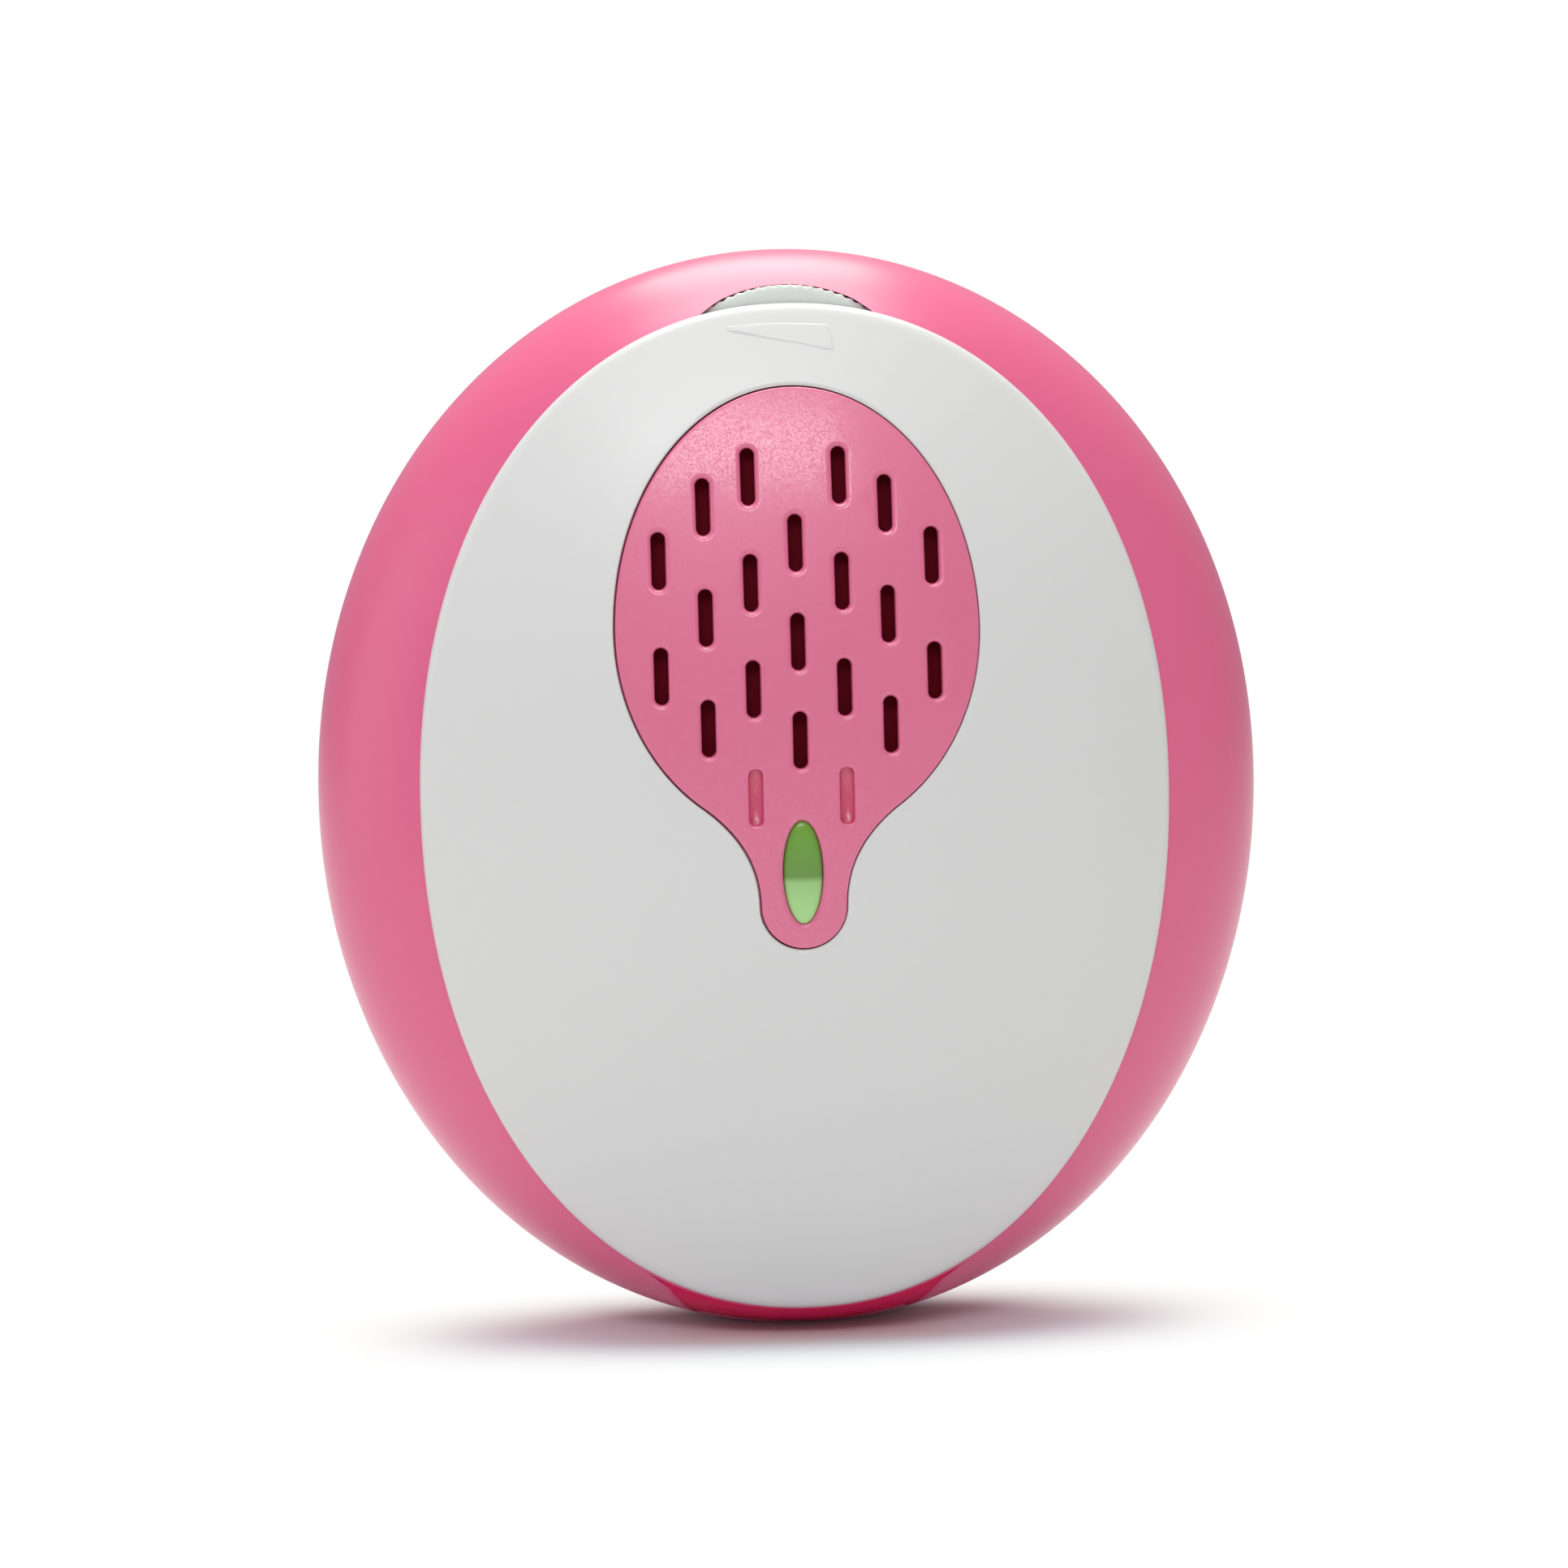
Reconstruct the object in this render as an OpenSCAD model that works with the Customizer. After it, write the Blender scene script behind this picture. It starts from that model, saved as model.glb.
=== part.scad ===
// Pocket fetal doppler monitor standing upright, millimetres.
// +X is to the right seen from the front, +Y runs back to the probe face, +Z is up.
// The origin is at the middle of the small flat that the body stands on.

/* [Body] */
// Width of the body at its widest
body_w = 83; // [80:0.5:88]
// Height of the full egg outline, before the foot flat is cut
body_h = 95; // [92:0.5:100]
// Squareness of the body outline, where 2 is an ellipse
body_square = 2.03; // [2:0.01:2.1]
// How much wider the outline grows towards the top
body_taper = 0.004; // [0:0.002:0.02]
// Depth from the front apex to the probe face
body_d = 36; // [35:0.5:40]
// Height of the outline cut away as a foot flat
foot_cut = 0.5; // [0.4:0.05:0.8]
// Wall of the bezel and the rear shell
wall = 2; // [1.8:0.1:2.2]
// Depth of the sloping bezel from the cover rim to the seam
bezel_d = 12.6; // [11.6:0.2:13.4]
// How far the rear shell draws in from the seam to its back face
rear_round = 14; // [12:0.5:15]
// Depth of the two shells, from the front apex to the back face
shell_d = 32; // [31.5:0.5:34]

/* [Front cover] */
// Width of the front cover
cover_w = 64.2; // [62:0.2:66]
// Height of the pink border at the top and the bottom, before the cover is lowered
end_border = 4.3; // [3.9:0.1:5]
// Rise of the apex above the cover's edge
cover_crown = 7.5; // [7:0.1:8]
// Thickness of the cover
cover_wall = 2; // [1.8:0.1:2.4]
// How far the cover's edge stands above the bezel rim
edge_proud = 0.6; // [0.4:0.1:0.8]
// Height of the cover's edge that sits in the bezel
edge_h = 2.3; // [2:0.1:2.5]
// Running gap round the cover
cover_gap = 0.15; // [0.1:0.05:0.25]

/* [Grille] */
// Width of the balloon-shaped grille plate
grille_w = 30.7; // [29:0.2:32]
// Height of the grille's widest line above the body's middle
grille_rise = 15; // [14:0.2:16]
// Height of the round top above the widest line
grille_up = 20.4; // [19:0.2:21]
// Depth of the curved lower half below the widest line
grille_down = 17.5; // [16.5:0.2:18.5]
// Radius of the grille's tail
tail_r = 3.6; // [3.2:0.1:4]
// Distance of the tail's centre below the body's middle
tail_drop = 8.2; // [7.6:0.1:9]
// Thickness of the grille plate
grille_t = 1; // [0.8:0.1:1.1]
// Width of a sound slot
slot_w = 1.2; // [1:0.05:1.4]
// Length of a sound slot
slot_l = 4.8; // [4.4:0.1:5.2]
// Spacing of the slot columns
slot_pitch = 3.84; // [3.5:0.02:4]
// Width of the indicator lens
lens_w = 3.3; // [3:0.1:3.6]
// Height of the indicator lens
lens_h = 8.7; // [8:0.1:9]

/* [Volume wheel] */
// Radius of the volume wheel over its teeth
wheel_r = 13; // [12.6:0.1:13.2]
// Thickness of the volume wheel
wheel_t = 2.7; // [2.4:0.1:2.8]
// How far the wheel shows above the cover's top edge
wheel_show = 1.7; // [1.2:0.1:1.9]
// Number of teeth round the wheel
wheel_teeth = 90; // [60:2:100]
// Depth of a tooth
tooth_d = 0.35; // [0.2:0.05:0.45]
// Radius of the potentiometer shaft
shaft_r = 1.5; // [1.3:0.1:1.8]
// Radius of the potentiometer body
pot_r = 4.8; // [4.4:0.1:5]

/* [Batteries] */
// Radius of one cell
cell_r = 5.25; // [5:0.05:5.25]
// Length of one cell over its button
cell_l = 44.5; // [43.5:0.1:44.5]
// Distance between the two cells' axes
cell_pitch = 11.2; // [11:0.1:11.4]
// Height of the battery bay's middle above the body's middle
bay_rise = 13.8; // [13.4:0.1:14.2]
// Room for a spring contact at each end of a cell
contact_room = 2.4; // [2.2:0.1:2.6]
// Wall of the battery tray
tray_wall = 1; // [0.8:0.1:1.2]
// Gap round the battery door
door_gap = 0.25; // [0.2:0.05:0.4]

/* [Probe] */
// Radius of the probe face
probe_r = 16.5; // [15.5:0.1:17]
// Distance of the probe's centre below the body's middle
probe_drop = 19; // [18.6:0.1:19.6]
// How far the collar stops short of the probe face
collar_step = 1.8; // [1.4:0.1:2.2]
// Width of the collar round the probe
collar_w = 1.9; // [1.6:0.1:2.4]

/* [Sound] */
// Radius of the loudspeaker
speaker_r = 13; // [12.4:0.1:13]
// Height of the loudspeaker's centre above the body's middle
speaker_rise = 12; // [11.6:0.1:12.2]
// Bore radius of an audio jack
jack_r = 1.8; // [1.75:0.05:1.85]
// Distance of each audio jack from the middle
jack_x = 7; // [6:0.2:7.6]

/* [Fasteners] */
// Radius of a case screw's shank
screw_r = 1.25; // [1.1:0.05:1.3]
// Radius of a case screw's head
head_r = 2.3; // [2.1:0.1:2.4]
// Wall round a case screw's bore
boss_wall = 1.4; // [1.2:0.1:1.5]

/* [Hidden] */

// Roundness of curves and of the lofted skins
$fn = 48;
around = 72;

// Planes across the depth, from the front apex to the probe face
front_y = -body_d / 2;
edge_y = front_y + cover_crown;
rim_y = edge_y + edge_proud;
seat_y = edge_y + edge_h;
seam_y = rim_y + bezel_d;
probe_y = body_d / 2;
back_y = front_y + shell_d;

// The body's middle above the foot flat, and the cover's middle above that
mid_z = body_h / 2 - foot_cut;
low_z = -body_h / 2;
cover_h = body_h - 2 * end_border;
cover_lift = -0.8;
cover_top = cover_h / 2 + cover_lift;
cover_square = 2.12;
cover_taper = 0.02;
// Power of the crown's curve, and the angle where the bezel's arc starts
crown_power = 2.3;
bezel_start = 40;
// Depth of the ledge that carries the cover, and its thickness
ledge_w = 1.6;
ledge_t = 1.3;
// Tongue of the rear shell inside the bezel
tongue_h = 1.5;
tongue_t = 1;

// General clearances: glued or seated faces, and faces that move
seat_gap = 0.05;
fit_gap = 0.15;
run_gap = 0.3;

// Slot columns counted from the middle: top slot's height, slots, step between slots
col_top = [22.3, 27.9, 25.45, 21];
col_count = [3, 3, 3, 2];
col_step = [8.25, 8.87, 9.26, 9.65];
// A shallow blind slot closes the first column on each side
blind_rise = 1.05;
blind_d = 0.5;

// The moulded volume mark: corners as distance across and drop below the cover's top
volume_mark = [[-5.1, 2.1], [3.5, 1.65], [3.45, 4]];
mark_proud = 0.3;

// Battery bay
bay_w = cell_l + 2 * contact_room;
bay_h = cell_pitch + 2 * cell_r + 0.7;
bay_top = bay_rise + bay_h / 2;
pad_gap = 0.3;
cell_y = back_y - wall - pad_gap - cell_r;
tray_floor = cell_y - cell_r - 0.2;
plate_t = 0.45;
button_r = 1.9;
button_l = 1.2;
door_w = bay_w + 1;
door_h = bay_h + 1.2;
door_low = bay_rise - door_h / 2;
// Foam pad inside the door, between the cells
pad_w = 32;
pad_h = 2.8;
pad_t = 1.2;
// Two tabs that hook the door's lower edge under the shell
tab_x = 14;
tab_w = 6;
tab_t = 1;
tab_reach = 0.9;
tab_y = back_y - wall - fit_gap;
// Three grip lines below the door's upper edge
grip_w = 12;
grip_line = 0.8;
grip_step = 1.6;
grip_drop = 5;
grip_d = 0.5;

// Case screws: two above the battery bay, two beside the probe
upper_z = bay_top + 4.5;
upper_screws = [[-17.5, upper_z], [17.5, upper_z]];
lower_screws = [[-23, -21], [23, -21]];

// Printed circuit board, how deep it lies behind the front apex, and what it carries
board_depth = 16;
board_y = front_y + board_depth;
board_t = 1.6;
board_back = board_y + board_t;
board_w = 47;
board_low = -8;
ear_w = 42;
ear_top = upper_z + 3.5;
foot_w = 25;

// Screw heads with a cross slot, their wells, bosses and pilot bores, and the two small board screws
head_t = 1.6;
head_y = board_back + 3.4;
well_r = head_r + run_gap;
boss_r = screw_r + fit_gap + boss_wall;
well_boss_r = well_r + 0.8;
pilot_depth = 9;
cross_l = 2.6;
cross_w = 0.6;
cross_d = 0.8;
board_posts = [[-20, -3], [20, -3]];
post_r = 2.2;
small_r = 0.8;
small_head_r = 1.7;
small_slot = 0.4;

// Volume control, from its wheel back to the board
wheel_depth = 9.1;
wheel_rise = cover_top + wheel_show - wheel_r;
wheel_y = front_y + wheel_depth;
wheel_back = wheel_y + wheel_t;
hub_dish = 0.9;
pot_front = wheel_back + 0.9;
shaft_front = wheel_y + hub_dish + 0.3;
shaft_back = pot_front + 1.9;

// Loudspeaker stack
speaker_depth = 4.5;
speaker_seat = front_y + speaker_depth;
gasket_t = 0.5;
speaker_front = speaker_seat + gasket_t + seat_gap;
speaker_d = 3.6;
cone_r = speaker_r - 1.6;
magnet_r = 6.5;
// Its leads: where they leave the basket, how far they bow, and where they meet the board
tap_x = 8.6;
tap_drop = 2;
tap_depth = 2.2;
tap_bow = 1.5;
tap_r = 0.5;
land_x = 11;
land_rise = 3;

// Probe stack, from its face inwards
cap_t = 1.2;
cap_rim_h = 3.5;
skirt_r = probe_r - 1.1;
skirt_wall = 1.2;
skirt_end = probe_y - 9.5;
collar_bore = probe_r + 0.2;
shelf_y = probe_y - 7.4;
seal_y = shelf_y + 1.3;
crystal_r = 12.4;
crystal_t = 1;
crystal_split = 1;
cup_r = 13.9;
cup_y = probe_y - 7.2;
lead_x = 6;
lead_r = 0.9;
lead_drop = 9.5;
lead_bow = 3.5;

// Jack bay under the cover's lower edge
bay_half = 13.9;
bay_front = rim_y + 0.6;
bay_back = board_y + 0.2;
bay_inset = 0.6;
bay_lip = 0.45;
jack_y = board_y - 2.5;
jack_w = 6.4;
jack_front = seat_y + ledge_t + 0.15;
jack_back = board_y - seat_gap;
jack_low = low_z + 5.5;
jack_l = 13;
jack_high = jack_low + jack_l;
jack_bore_l = 11.5;
plug_room = 0.4;
panel_high = jack_low - seat_gap;
foot_low = jack_low + 1;

// Chips on the board: left, right, low and high edges, and height
chips = [[-16, -8, -6.5, 1.5, 1.6], [5, 11, -7, -1, 1.4], [-9, 9, 8, 14, 1.2],
    [-5, 5, jack_high + 7, jack_high + 16, 1.4]];
// Capacitors: place across and up, radius and length
cans = [[-15, 7, 2, 4.5], [15, 7, 2, 4.5], [-9, jack_high + 4, 1.6, 4], [8, jack_high + 4, 1.6, 4]];
// Light-emitting diode behind the lens, and its legs
led_r = 1.5;
led_l = 5;
leg_x = 0.7;
leg_w = 0.5;

pink = [0.87, 0.42, 0.56];
white = [0.93, 0.93, 0.93];
crimson = [0.6, 0.1, 0.2];
grey = [0.6, 0.62, 0.64];
dark = [0.2, 0.2, 0.22];

// ---------- outlines and skins ----------

function signed_pow(v, e) = sign(v) * pow(abs(v), e);

// One point of an egg: half width a, half height b, squareness n, taper k, lifted by lift
function egg_point(t, a, b, n, k, lift) =
    let (z = b * signed_pow(sin(t), 2 / n))
    [a * (1 + k * z / b) * signed_pow(cos(t), 2 / n), z + lift];

function egg(a, b, n = 2, k = 0, lift = 0) =
    [for (i = [0 : around - 1]) egg_point(360 * i / around, a, b, n, k, lift)];

function body_egg(inset = 0) =
    egg(body_w / 2 - inset, body_h / 2 - inset, body_square, body_taper);

function cover_egg(grow = 0, share = 1) =
    egg((cover_w / 2 + grow) * share, (cover_h / 2 + grow) * share, cover_square, cover_taper, cover_lift);

function blend(p, q, f) = [for (i = [0 : len(p) - 1]) p[i] + (q[i] - p[i]) * f];

function ring(outline, y) = [for (p = outline) [p[0], y, p[1]]];

// A skin through rings of equal count, capped at both ends or joined end to end
module skin(rings, closed = false) {
    m = len(rings[0]);
    n = len(rings);
    last = closed ? n - 1 : n - 2;
    sides = [for (j = [0 : last], i = [0 : m - 1])
        let (k = (j + 1) % n, h = (i + 1) % m)
        [j * m + i, j * m + h, k * m + h, k * m + i]];
    ends = closed ? [] : [[for (i = [m - 1 : -1 : 0]) i], [for (i = [0 : m - 1]) (n - 1) * m + i]];
    polyhedron(points = [for (r = rings) each r], faces = concat(sides, ends), convexity = 6);
}

// The bezel's arc: share of the way out, and plane, at angle s from bezel_start to 90
function arc_out(s) = (sin(s) - sin(bezel_start)) / (1 - sin(bezel_start));
function arc_y(s, y0) = seam_y - (seam_y - y0) * cos(s) / cos(bezel_start);
function bezel_ring(s, inset, y0) =
    ring(blend(cover_egg(cover_gap - inset * 0.5), body_egg(inset), arc_out(s)), arc_y(s, y0));

// The rear shell's quarter-round from the seam to the back face
function rear_ring(s, inset) =
    ring(body_egg(inset + rear_round * (1 - cos(s))), seam_y + (back_y - inset - seam_y) * sin(s));

// The cover's crown: plane of the outer face at a share of the way to its edge
function crown_y(share) = edge_y - cover_crown * (1 - pow(share, crown_power));
function crown_ring(share, sink) = ring(cover_egg(0, share), crown_y(share) + sink);

crown_steps = [0.05, 0.15, 0.27, 0.4, 0.53, 0.66, 0.78, 0.89, 0.96];
arc_steps = [for (s = [bezel_start : 10 : 90]) s];
rear_steps = [0, 14, 28, 42, 56, 70, 81, 90];

// Everything in front of the crown, sunk by sink; what lies behind it, down to plane end_y
module behind_crown(sink, end_y) {
    skin(concat([for (f = crown_steps) crown_ring(f, sink)],
        [ring(cover_egg(0, 1), edge_y + sink), ring(cover_egg(0, 1), end_y)]));
}

// The whole body behind the seam, inset from its outer face
module rear_solid(inset = 0) {
    skin(concat([ring(body_egg(inset), seam_y)], [for (s = rear_steps) if (s > 0) rear_ring(s, inset)]));
}

// The whole body in front of the seam, inset from its outer face
module bezel_solid(inset = 0) {
    skin([for (s = arc_steps) bezel_ring(s, inset, rim_y)]);
}

// Moves children up to the body's middle
module at_middle() {
    translate([0, 0, mid_z]) children();
}

// Stands a shape's +Z along +Y, starting at plane y, at (x, z)
module along_y(y, x = 0, z = 0) {
    translate([x, y, z]) rotate([-90, 0, 0]) children();
}

// Draws a flat outline in X and Z, filled from plane y0 to plane y1
module slab(y0, y1) {
    translate([0, y1, 0]) rotate([90, 0, 0]) linear_extrude(y1 - y0) children();
}

module disc(y0, y1, r, x = 0, z = 0) {
    along_y(y0, x, z) cylinder(h = y1 - y0, r = r);
}

module tube(y0, y1, r_out, r_in, x = 0, z = 0) {
    difference() {
        disc(y0, y1, r_out, x, z);
        disc(y0 - 1, y1 + 1, r_in, x, z);
    }
}

module block(x0, x1, y0, y1, z0, z1) {
    translate([x0, y0, z0]) cube([x1 - x0, y1 - y0, z1 - z0]);
}

// A six-sided lead swept along a cubic curve: p and s are its ends, q and t the points that it leaves and meets them from
module lead(p, q, t, s, r, steps) {
    skin([for (i = [0 : steps])
        let (u = i / steps, h = 1 - u,
            at = h * h * h * p + 3 * h * h * u * q + 3 * h * u * u * t + u * u * u * s,
            run = h * h * (q - p) + 2 * h * u * (t - q) + u * u * (s - t),
            d = run / norm(run), side = cross([1, 0, 0], d), v = side / norm(side), w = cross(d, v))
        [for (a = [0 : 60 : 300]) at + r * (cos(a) * v - sin(a) * w)]]);
}

// Room for a plug below each audio jack
module plug_ways() {
    for (s = [-1, 1]) translate([s * jack_x, jack_y, low_z]) cylinder(h = jack_low - low_z + 1, r = jack_r + plug_room);
}

// ---------- grille pattern ----------

// The balloon: an elliptic top, a fuller lower half, a hollow neck and a round tail
neck_angle = -58;
function lower_point(t, g) =
    [(grille_w / 2 + g) * cos(t), grille_rise + ((t > 0 ? grille_up : grille_down) + g) * sin(t)];
function balloon_side(g) =
    let (p = lower_point(neck_angle, g), q = [tail_r + g, p[1] - 3.4], r = [tail_r + g, -tail_drop])
    concat([for (i = [0 : 18]) lower_point(90 + (neck_angle - 90) * i / 18, g)],
        [for (u = [0.2 : 0.2 : 1]) (1 - u) * (1 - u) * p + 2 * u * (1 - u) * q + u * u * r],
        [for (t = [-15 : -15 : -90]) [(tail_r + g) * cos(t), (tail_r + g) * sin(t) - tail_drop]]);

module balloon(g = 0) {
    side = balloon_side(g);
    polygon(concat(side, [for (i = [len(side) - 2 : -1 : 1]) [-side[i][0], side[i][1]]]));
}

module slot(grow = 0) {
    square([slot_w + 2 * grow, slot_l - slot_w], center = true);
    for (s = [-1, 1]) translate([0, s * (slot_l - slot_w) / 2]) circle(slot_w / 2 + grow);
}

module slots(grow = 0) {
    for (c = [-3 : 3], row = [0 : col_count[abs(c)] - 1])
        translate([c * slot_pitch, col_top[abs(c)] - row * col_step[abs(c)]]) slot(grow);
}

module blind_slots() {
    for (s = [-1, 1]) translate([s * slot_pitch, blind_rise]) slot();
}

lens_z = -5.35;
function oval(w, h) = [for (t = [0 : 10 : 350]) [w / 2 * cos(t), h / 2 * sin(t)]];
function oval_ring(grow, y) = [for (p = oval(lens_w + 2 * grow, lens_h + 2 * grow)) [p[0], y, p[1] + lens_z]];

// ---------- casing ----------

// Clearance cut for the volume wheel, from a plane in front of it
module wheel_room(front = wheel_y - run_gap) {
    disc(front, wheel_back + run_gap, wheel_r + run_gap, 0, wheel_rise);
}

// The jack bay: outside the cover's edge wall, under the middle, between two planes
module jack_bay(half, y0, y1, lip) {
    intersection() {
        block(-half, half, y0, y1, -body_h, 0);
        difference() {
            slab(y0, y1) square(2 * body_h, center = true);
            slab(y0 - 1, y1 + 1) polygon(cover_egg(lip));
        }
    }
}

module foot_plane() {
    block(-body_w, body_w, -body_d, body_d, -body_h, foot_cut - body_h / 2);
}

module front_bezel() {
    ledge_back = seat_y + ledge_t + seat_gap;
    ledge_front = seat_y + seat_gap;
    at_middle() color(pink) difference() {
        skin(concat(
            [for (s = arc_steps) bezel_ring(s, 0, rim_y)],
            [ring(body_egg(wall), seam_y), ring(body_egg(wall), seam_y - tongue_h - run_gap)],
            [for (s = [72, 60, 50, bezel_start])
                ring(blend(cover_egg(0), body_egg(wall), arc_out(s)), arc_y(s, ledge_back))],
            [ring(cover_egg(-ledge_w), ledge_back), ring(cover_egg(-ledge_w), ledge_front),
                ring(cover_egg(cover_gap), ledge_front)]), closed = true);
        wheel_room(rim_y - 1);
        jack_bay(bay_half, bay_front, bay_back, bay_lip);
        plug_ways();
        foot_plane();
    }
}

module cover_blank() {
    inner = [0.93, 0.8, 0.66, 0.5, 0.33, 0.15];
    skin(concat(
        [for (f = crown_steps) crown_ring(f, 0)],
        [ring(cover_egg(0, 0.988), edge_y + 0.1), ring(cover_egg(0), rim_y), ring(cover_egg(0), seat_y),
            ring(cover_egg(-cover_wall), seat_y)],
        [for (f = inner) crown_ring(f, cover_wall)]));
}

// Case bosses, board posts and the loudspeaker's seat behind the crown
module cover_bosses() {
    for (p = upper_screws) disc(front_y, board_y - seat_gap, boss_r, p[0], p[1]);
    for (p = lower_screws) disc(front_y, board_back, boss_r, p[0], p[1]);
    for (p = board_posts) disc(front_y, board_y - seat_gap, post_r, p[0], p[1]);
    tube(front_y, speaker_seat, speaker_r, cone_r, 0, speaker_rise);
}

module front_cover() {
    at_middle() color(white) difference() {
        union() {
            cover_blank();
            intersection() {
                cover_bosses();
                behind_crown(cover_wall / 2 + grille_t / 2, board_back + 1);
            }
            intersection() {
                slab(front_y - 1, edge_y - 0.2) polygon([for (p = volume_mark) [p[0], cover_top - p[1]]]);
                behind_crown(-mark_proud, edge_y + 1);
            }
        }
        difference() {
            slab(front_y - 1, edge_y) balloon(fit_gap);
            behind_crown(grille_t + seat_gap, edge_y + 3);
        }
        slab(front_y - 1, speaker_seat) slots(0.2);
        disc(speaker_seat, edge_y, speaker_r, 0, speaker_rise);
        slab(front_y - 1, edge_y) translate([0, lens_z]) polygon(oval(lens_w + 1, lens_h + 1));
        wheel_room();
        for (p = upper_screws) disc(board_y - pilot_depth, board_y + 1, screw_r + fit_gap, p[0], p[1]);
        for (p = lower_screws) disc(board_back - pilot_depth, board_back + 1, screw_r + fit_gap, p[0], p[1]);
        for (p = board_posts) disc(board_y - 6, board_y + 1, small_r + fit_gap, p[0], p[1]);
    }
}

module grille_plate() {
    at_middle() color(pink) difference() {
        intersection() {
            slab(front_y - 1, edge_y) balloon();
            difference() {
                behind_crown(0, edge_y + 3);
                behind_crown(grille_t, edge_y + 4);
            }
        }
        slab(front_y - 1, edge_y) slots();
        slab(front_y - 1, crown_y(0) + blind_d) blind_slots();
        slab(front_y - 1, edge_y) translate([0, lens_z]) polygon(oval(lens_w + 0.2, lens_h + 0.2));
    }
}

module indicator_lens() {
    lens_y = crown_y(0) + 0.25;
    at_middle() color([0.45, 0.65, 0.3]) skin([
        oval_ring(-0.9, lens_y - 0.15), oval_ring(-0.4, lens_y - 0.05), oval_ring(0, lens_y + 0.15),
        oval_ring(0, lens_y + grille_t + cover_wall), oval_ring(-0.5, lens_y + grille_t + cover_wall)]);
}

// Battery tray walls, screw tubes and the probe collar, before they are trimmed to the body
module rear_inside() {
    reach = bay_w / 2 + tray_wall;
    rise = bay_h / 2 + tray_wall;
    block(-reach, reach, tray_floor - tray_wall, probe_y, bay_rise - rise, bay_rise + rise);
    for (p = upper_screws) disc(board_back + seat_gap, probe_y, well_boss_r, p[0], p[1]);
    for (p = lower_screws) disc(board_back + seat_gap, probe_y, well_boss_r, p[0], p[1]);
    disc(shelf_y, back_y, probe_r + collar_w, 0, -probe_drop);
}

// The battery door's opening, also the door's own outline when drawn in
module door_frame(inset, y0) {
    block(inset - door_w / 2, door_w / 2 - inset, y0, probe_y, door_low + inset, door_low + door_h - inset);
}

module rear_shell() {
    at_middle() color(pink) difference() {
        union() {
            skin(concat(
                [for (s = [90, 75, 58, 38, 18]) rear_ring(s, wall)],
                [ring(body_egg(wall + tongue_t), seam_y + 1), ring(body_egg(wall + tongue_t), seam_y - tongue_h),
                    ring(body_egg(wall + fit_gap), seam_y - tongue_h), ring(body_egg(wall + fit_gap), seam_y),
                    ring(body_egg(0), seam_y)],
                [for (s = rear_steps) if (s > 0) rear_ring(s, 0)]));
            intersection() {
                rear_inside();
                union() {
                    rear_solid();
                    block(-body_w / 3, body_w / 3, board_back, seam_y + 1, -body_h / 3, body_h * 0.37);
                }
            }
            tube(back_y - wall, probe_y - collar_step, probe_r + collar_w, collar_bore, 0, -probe_drop);
        }
        block(-bay_w / 2, bay_w / 2, tray_floor, probe_y, bay_rise - bay_h / 2, bay_rise + bay_h / 2);
        door_frame(0, back_y - 2 * wall);
        for (s = [-1, 1]) block(s * tab_x - tab_w / 2 - run_gap, s * tab_x + tab_w / 2 + run_gap,
            tab_y - tab_t - 0.5, back_y - wall, door_low - tab_reach - run_gap, door_low + wall);
        disc(shelf_y + 1.2, probe_y, collar_bore, 0, -probe_drop);
        disc(board_back, probe_y, skirt_r + fit_gap, 0, -probe_drop);
        for (p = concat(upper_screws, lower_screws)) {
            disc(head_y, probe_y, well_r, p[0], p[1]);
            disc(board_back - 1, head_y + 1, screw_r + fit_gap, p[0], p[1]);
        }
        for (z = [-0.5, 0.5]) block(bay_w / 2 - 0.6, bay_w / 2, board_back, tray_floor + 1,
            bay_rise + z * cell_pitch - 1, bay_rise + z * cell_pitch + 1);
        foot_plane();
    }
}

module jack_panel() {
    at_middle() color(crimson) difference() {
        intersection() {
            bezel_solid(bay_inset);
            block(seat_gap - bay_half, bay_half - seat_gap, bay_front, bay_back - seat_gap, -body_h, panel_high);
            slab(bay_front, seam_y) difference() {
                square(2 * body_h, center = true);
                polygon(cover_egg(bay_lip + seat_gap));
            }
        }
        plug_ways();
    }
}

module battery_door() {
    at_middle() color(pink) {
        difference() {
            intersection() {
                difference() {
                    rear_solid();
                    rear_solid(wall);
                }
                door_frame(door_gap, back_y - 4);
            }
            for (i = [-1 : 1]) translate([0, 0, door_low + door_h - grip_drop + grip_step * i])
                block(-grip_w / 2, grip_w / 2, back_y - grip_d, back_y + 1, 0, grip_line);
        }
        for (s = [-1, 1]) {
            block(s * tab_x - tab_w / 2, s * tab_x + tab_w / 2, tab_y - tab_t, tab_y,
                door_low - tab_reach, door_low + 1.2);
            block(s * tab_x - tab_w / 2, s * tab_x + tab_w / 2, tab_y - tab_t, back_y - wall + 0.3,
                door_low + door_gap, door_low + 1.2);
        }
    }
}

module door_pad() {
    at_middle() color(dark) block(-pad_w / 2, pad_w / 2, back_y - wall - pad_t, back_y - wall - seat_gap,
        bay_rise - pad_h / 2, bay_rise + pad_h / 2);
}

// ---------- volume control ----------

module volume_wheel() {
    step = 360 / wheel_teeth;
    rim = [for (i = [0 : wheel_teeth - 1], c = [[0, 1], [0.35, 1], [0.5, 0], [0.85, 0]])
        (wheel_r - tooth_d * (1 - c[1])) * [cos((i + c[0]) * step), sin((i + c[0]) * step)]];
    at_middle() color(grey) difference() {
        translate([0, 0, wheel_rise]) slab(wheel_y, wheel_back) polygon(rim);
        disc(wheel_y - 1, wheel_y + hub_dish, 2.6, 0, wheel_rise);
        disc(wheel_y, wheel_back + 1, shaft_r + 0.02, 0, wheel_rise);
    }
}

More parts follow.
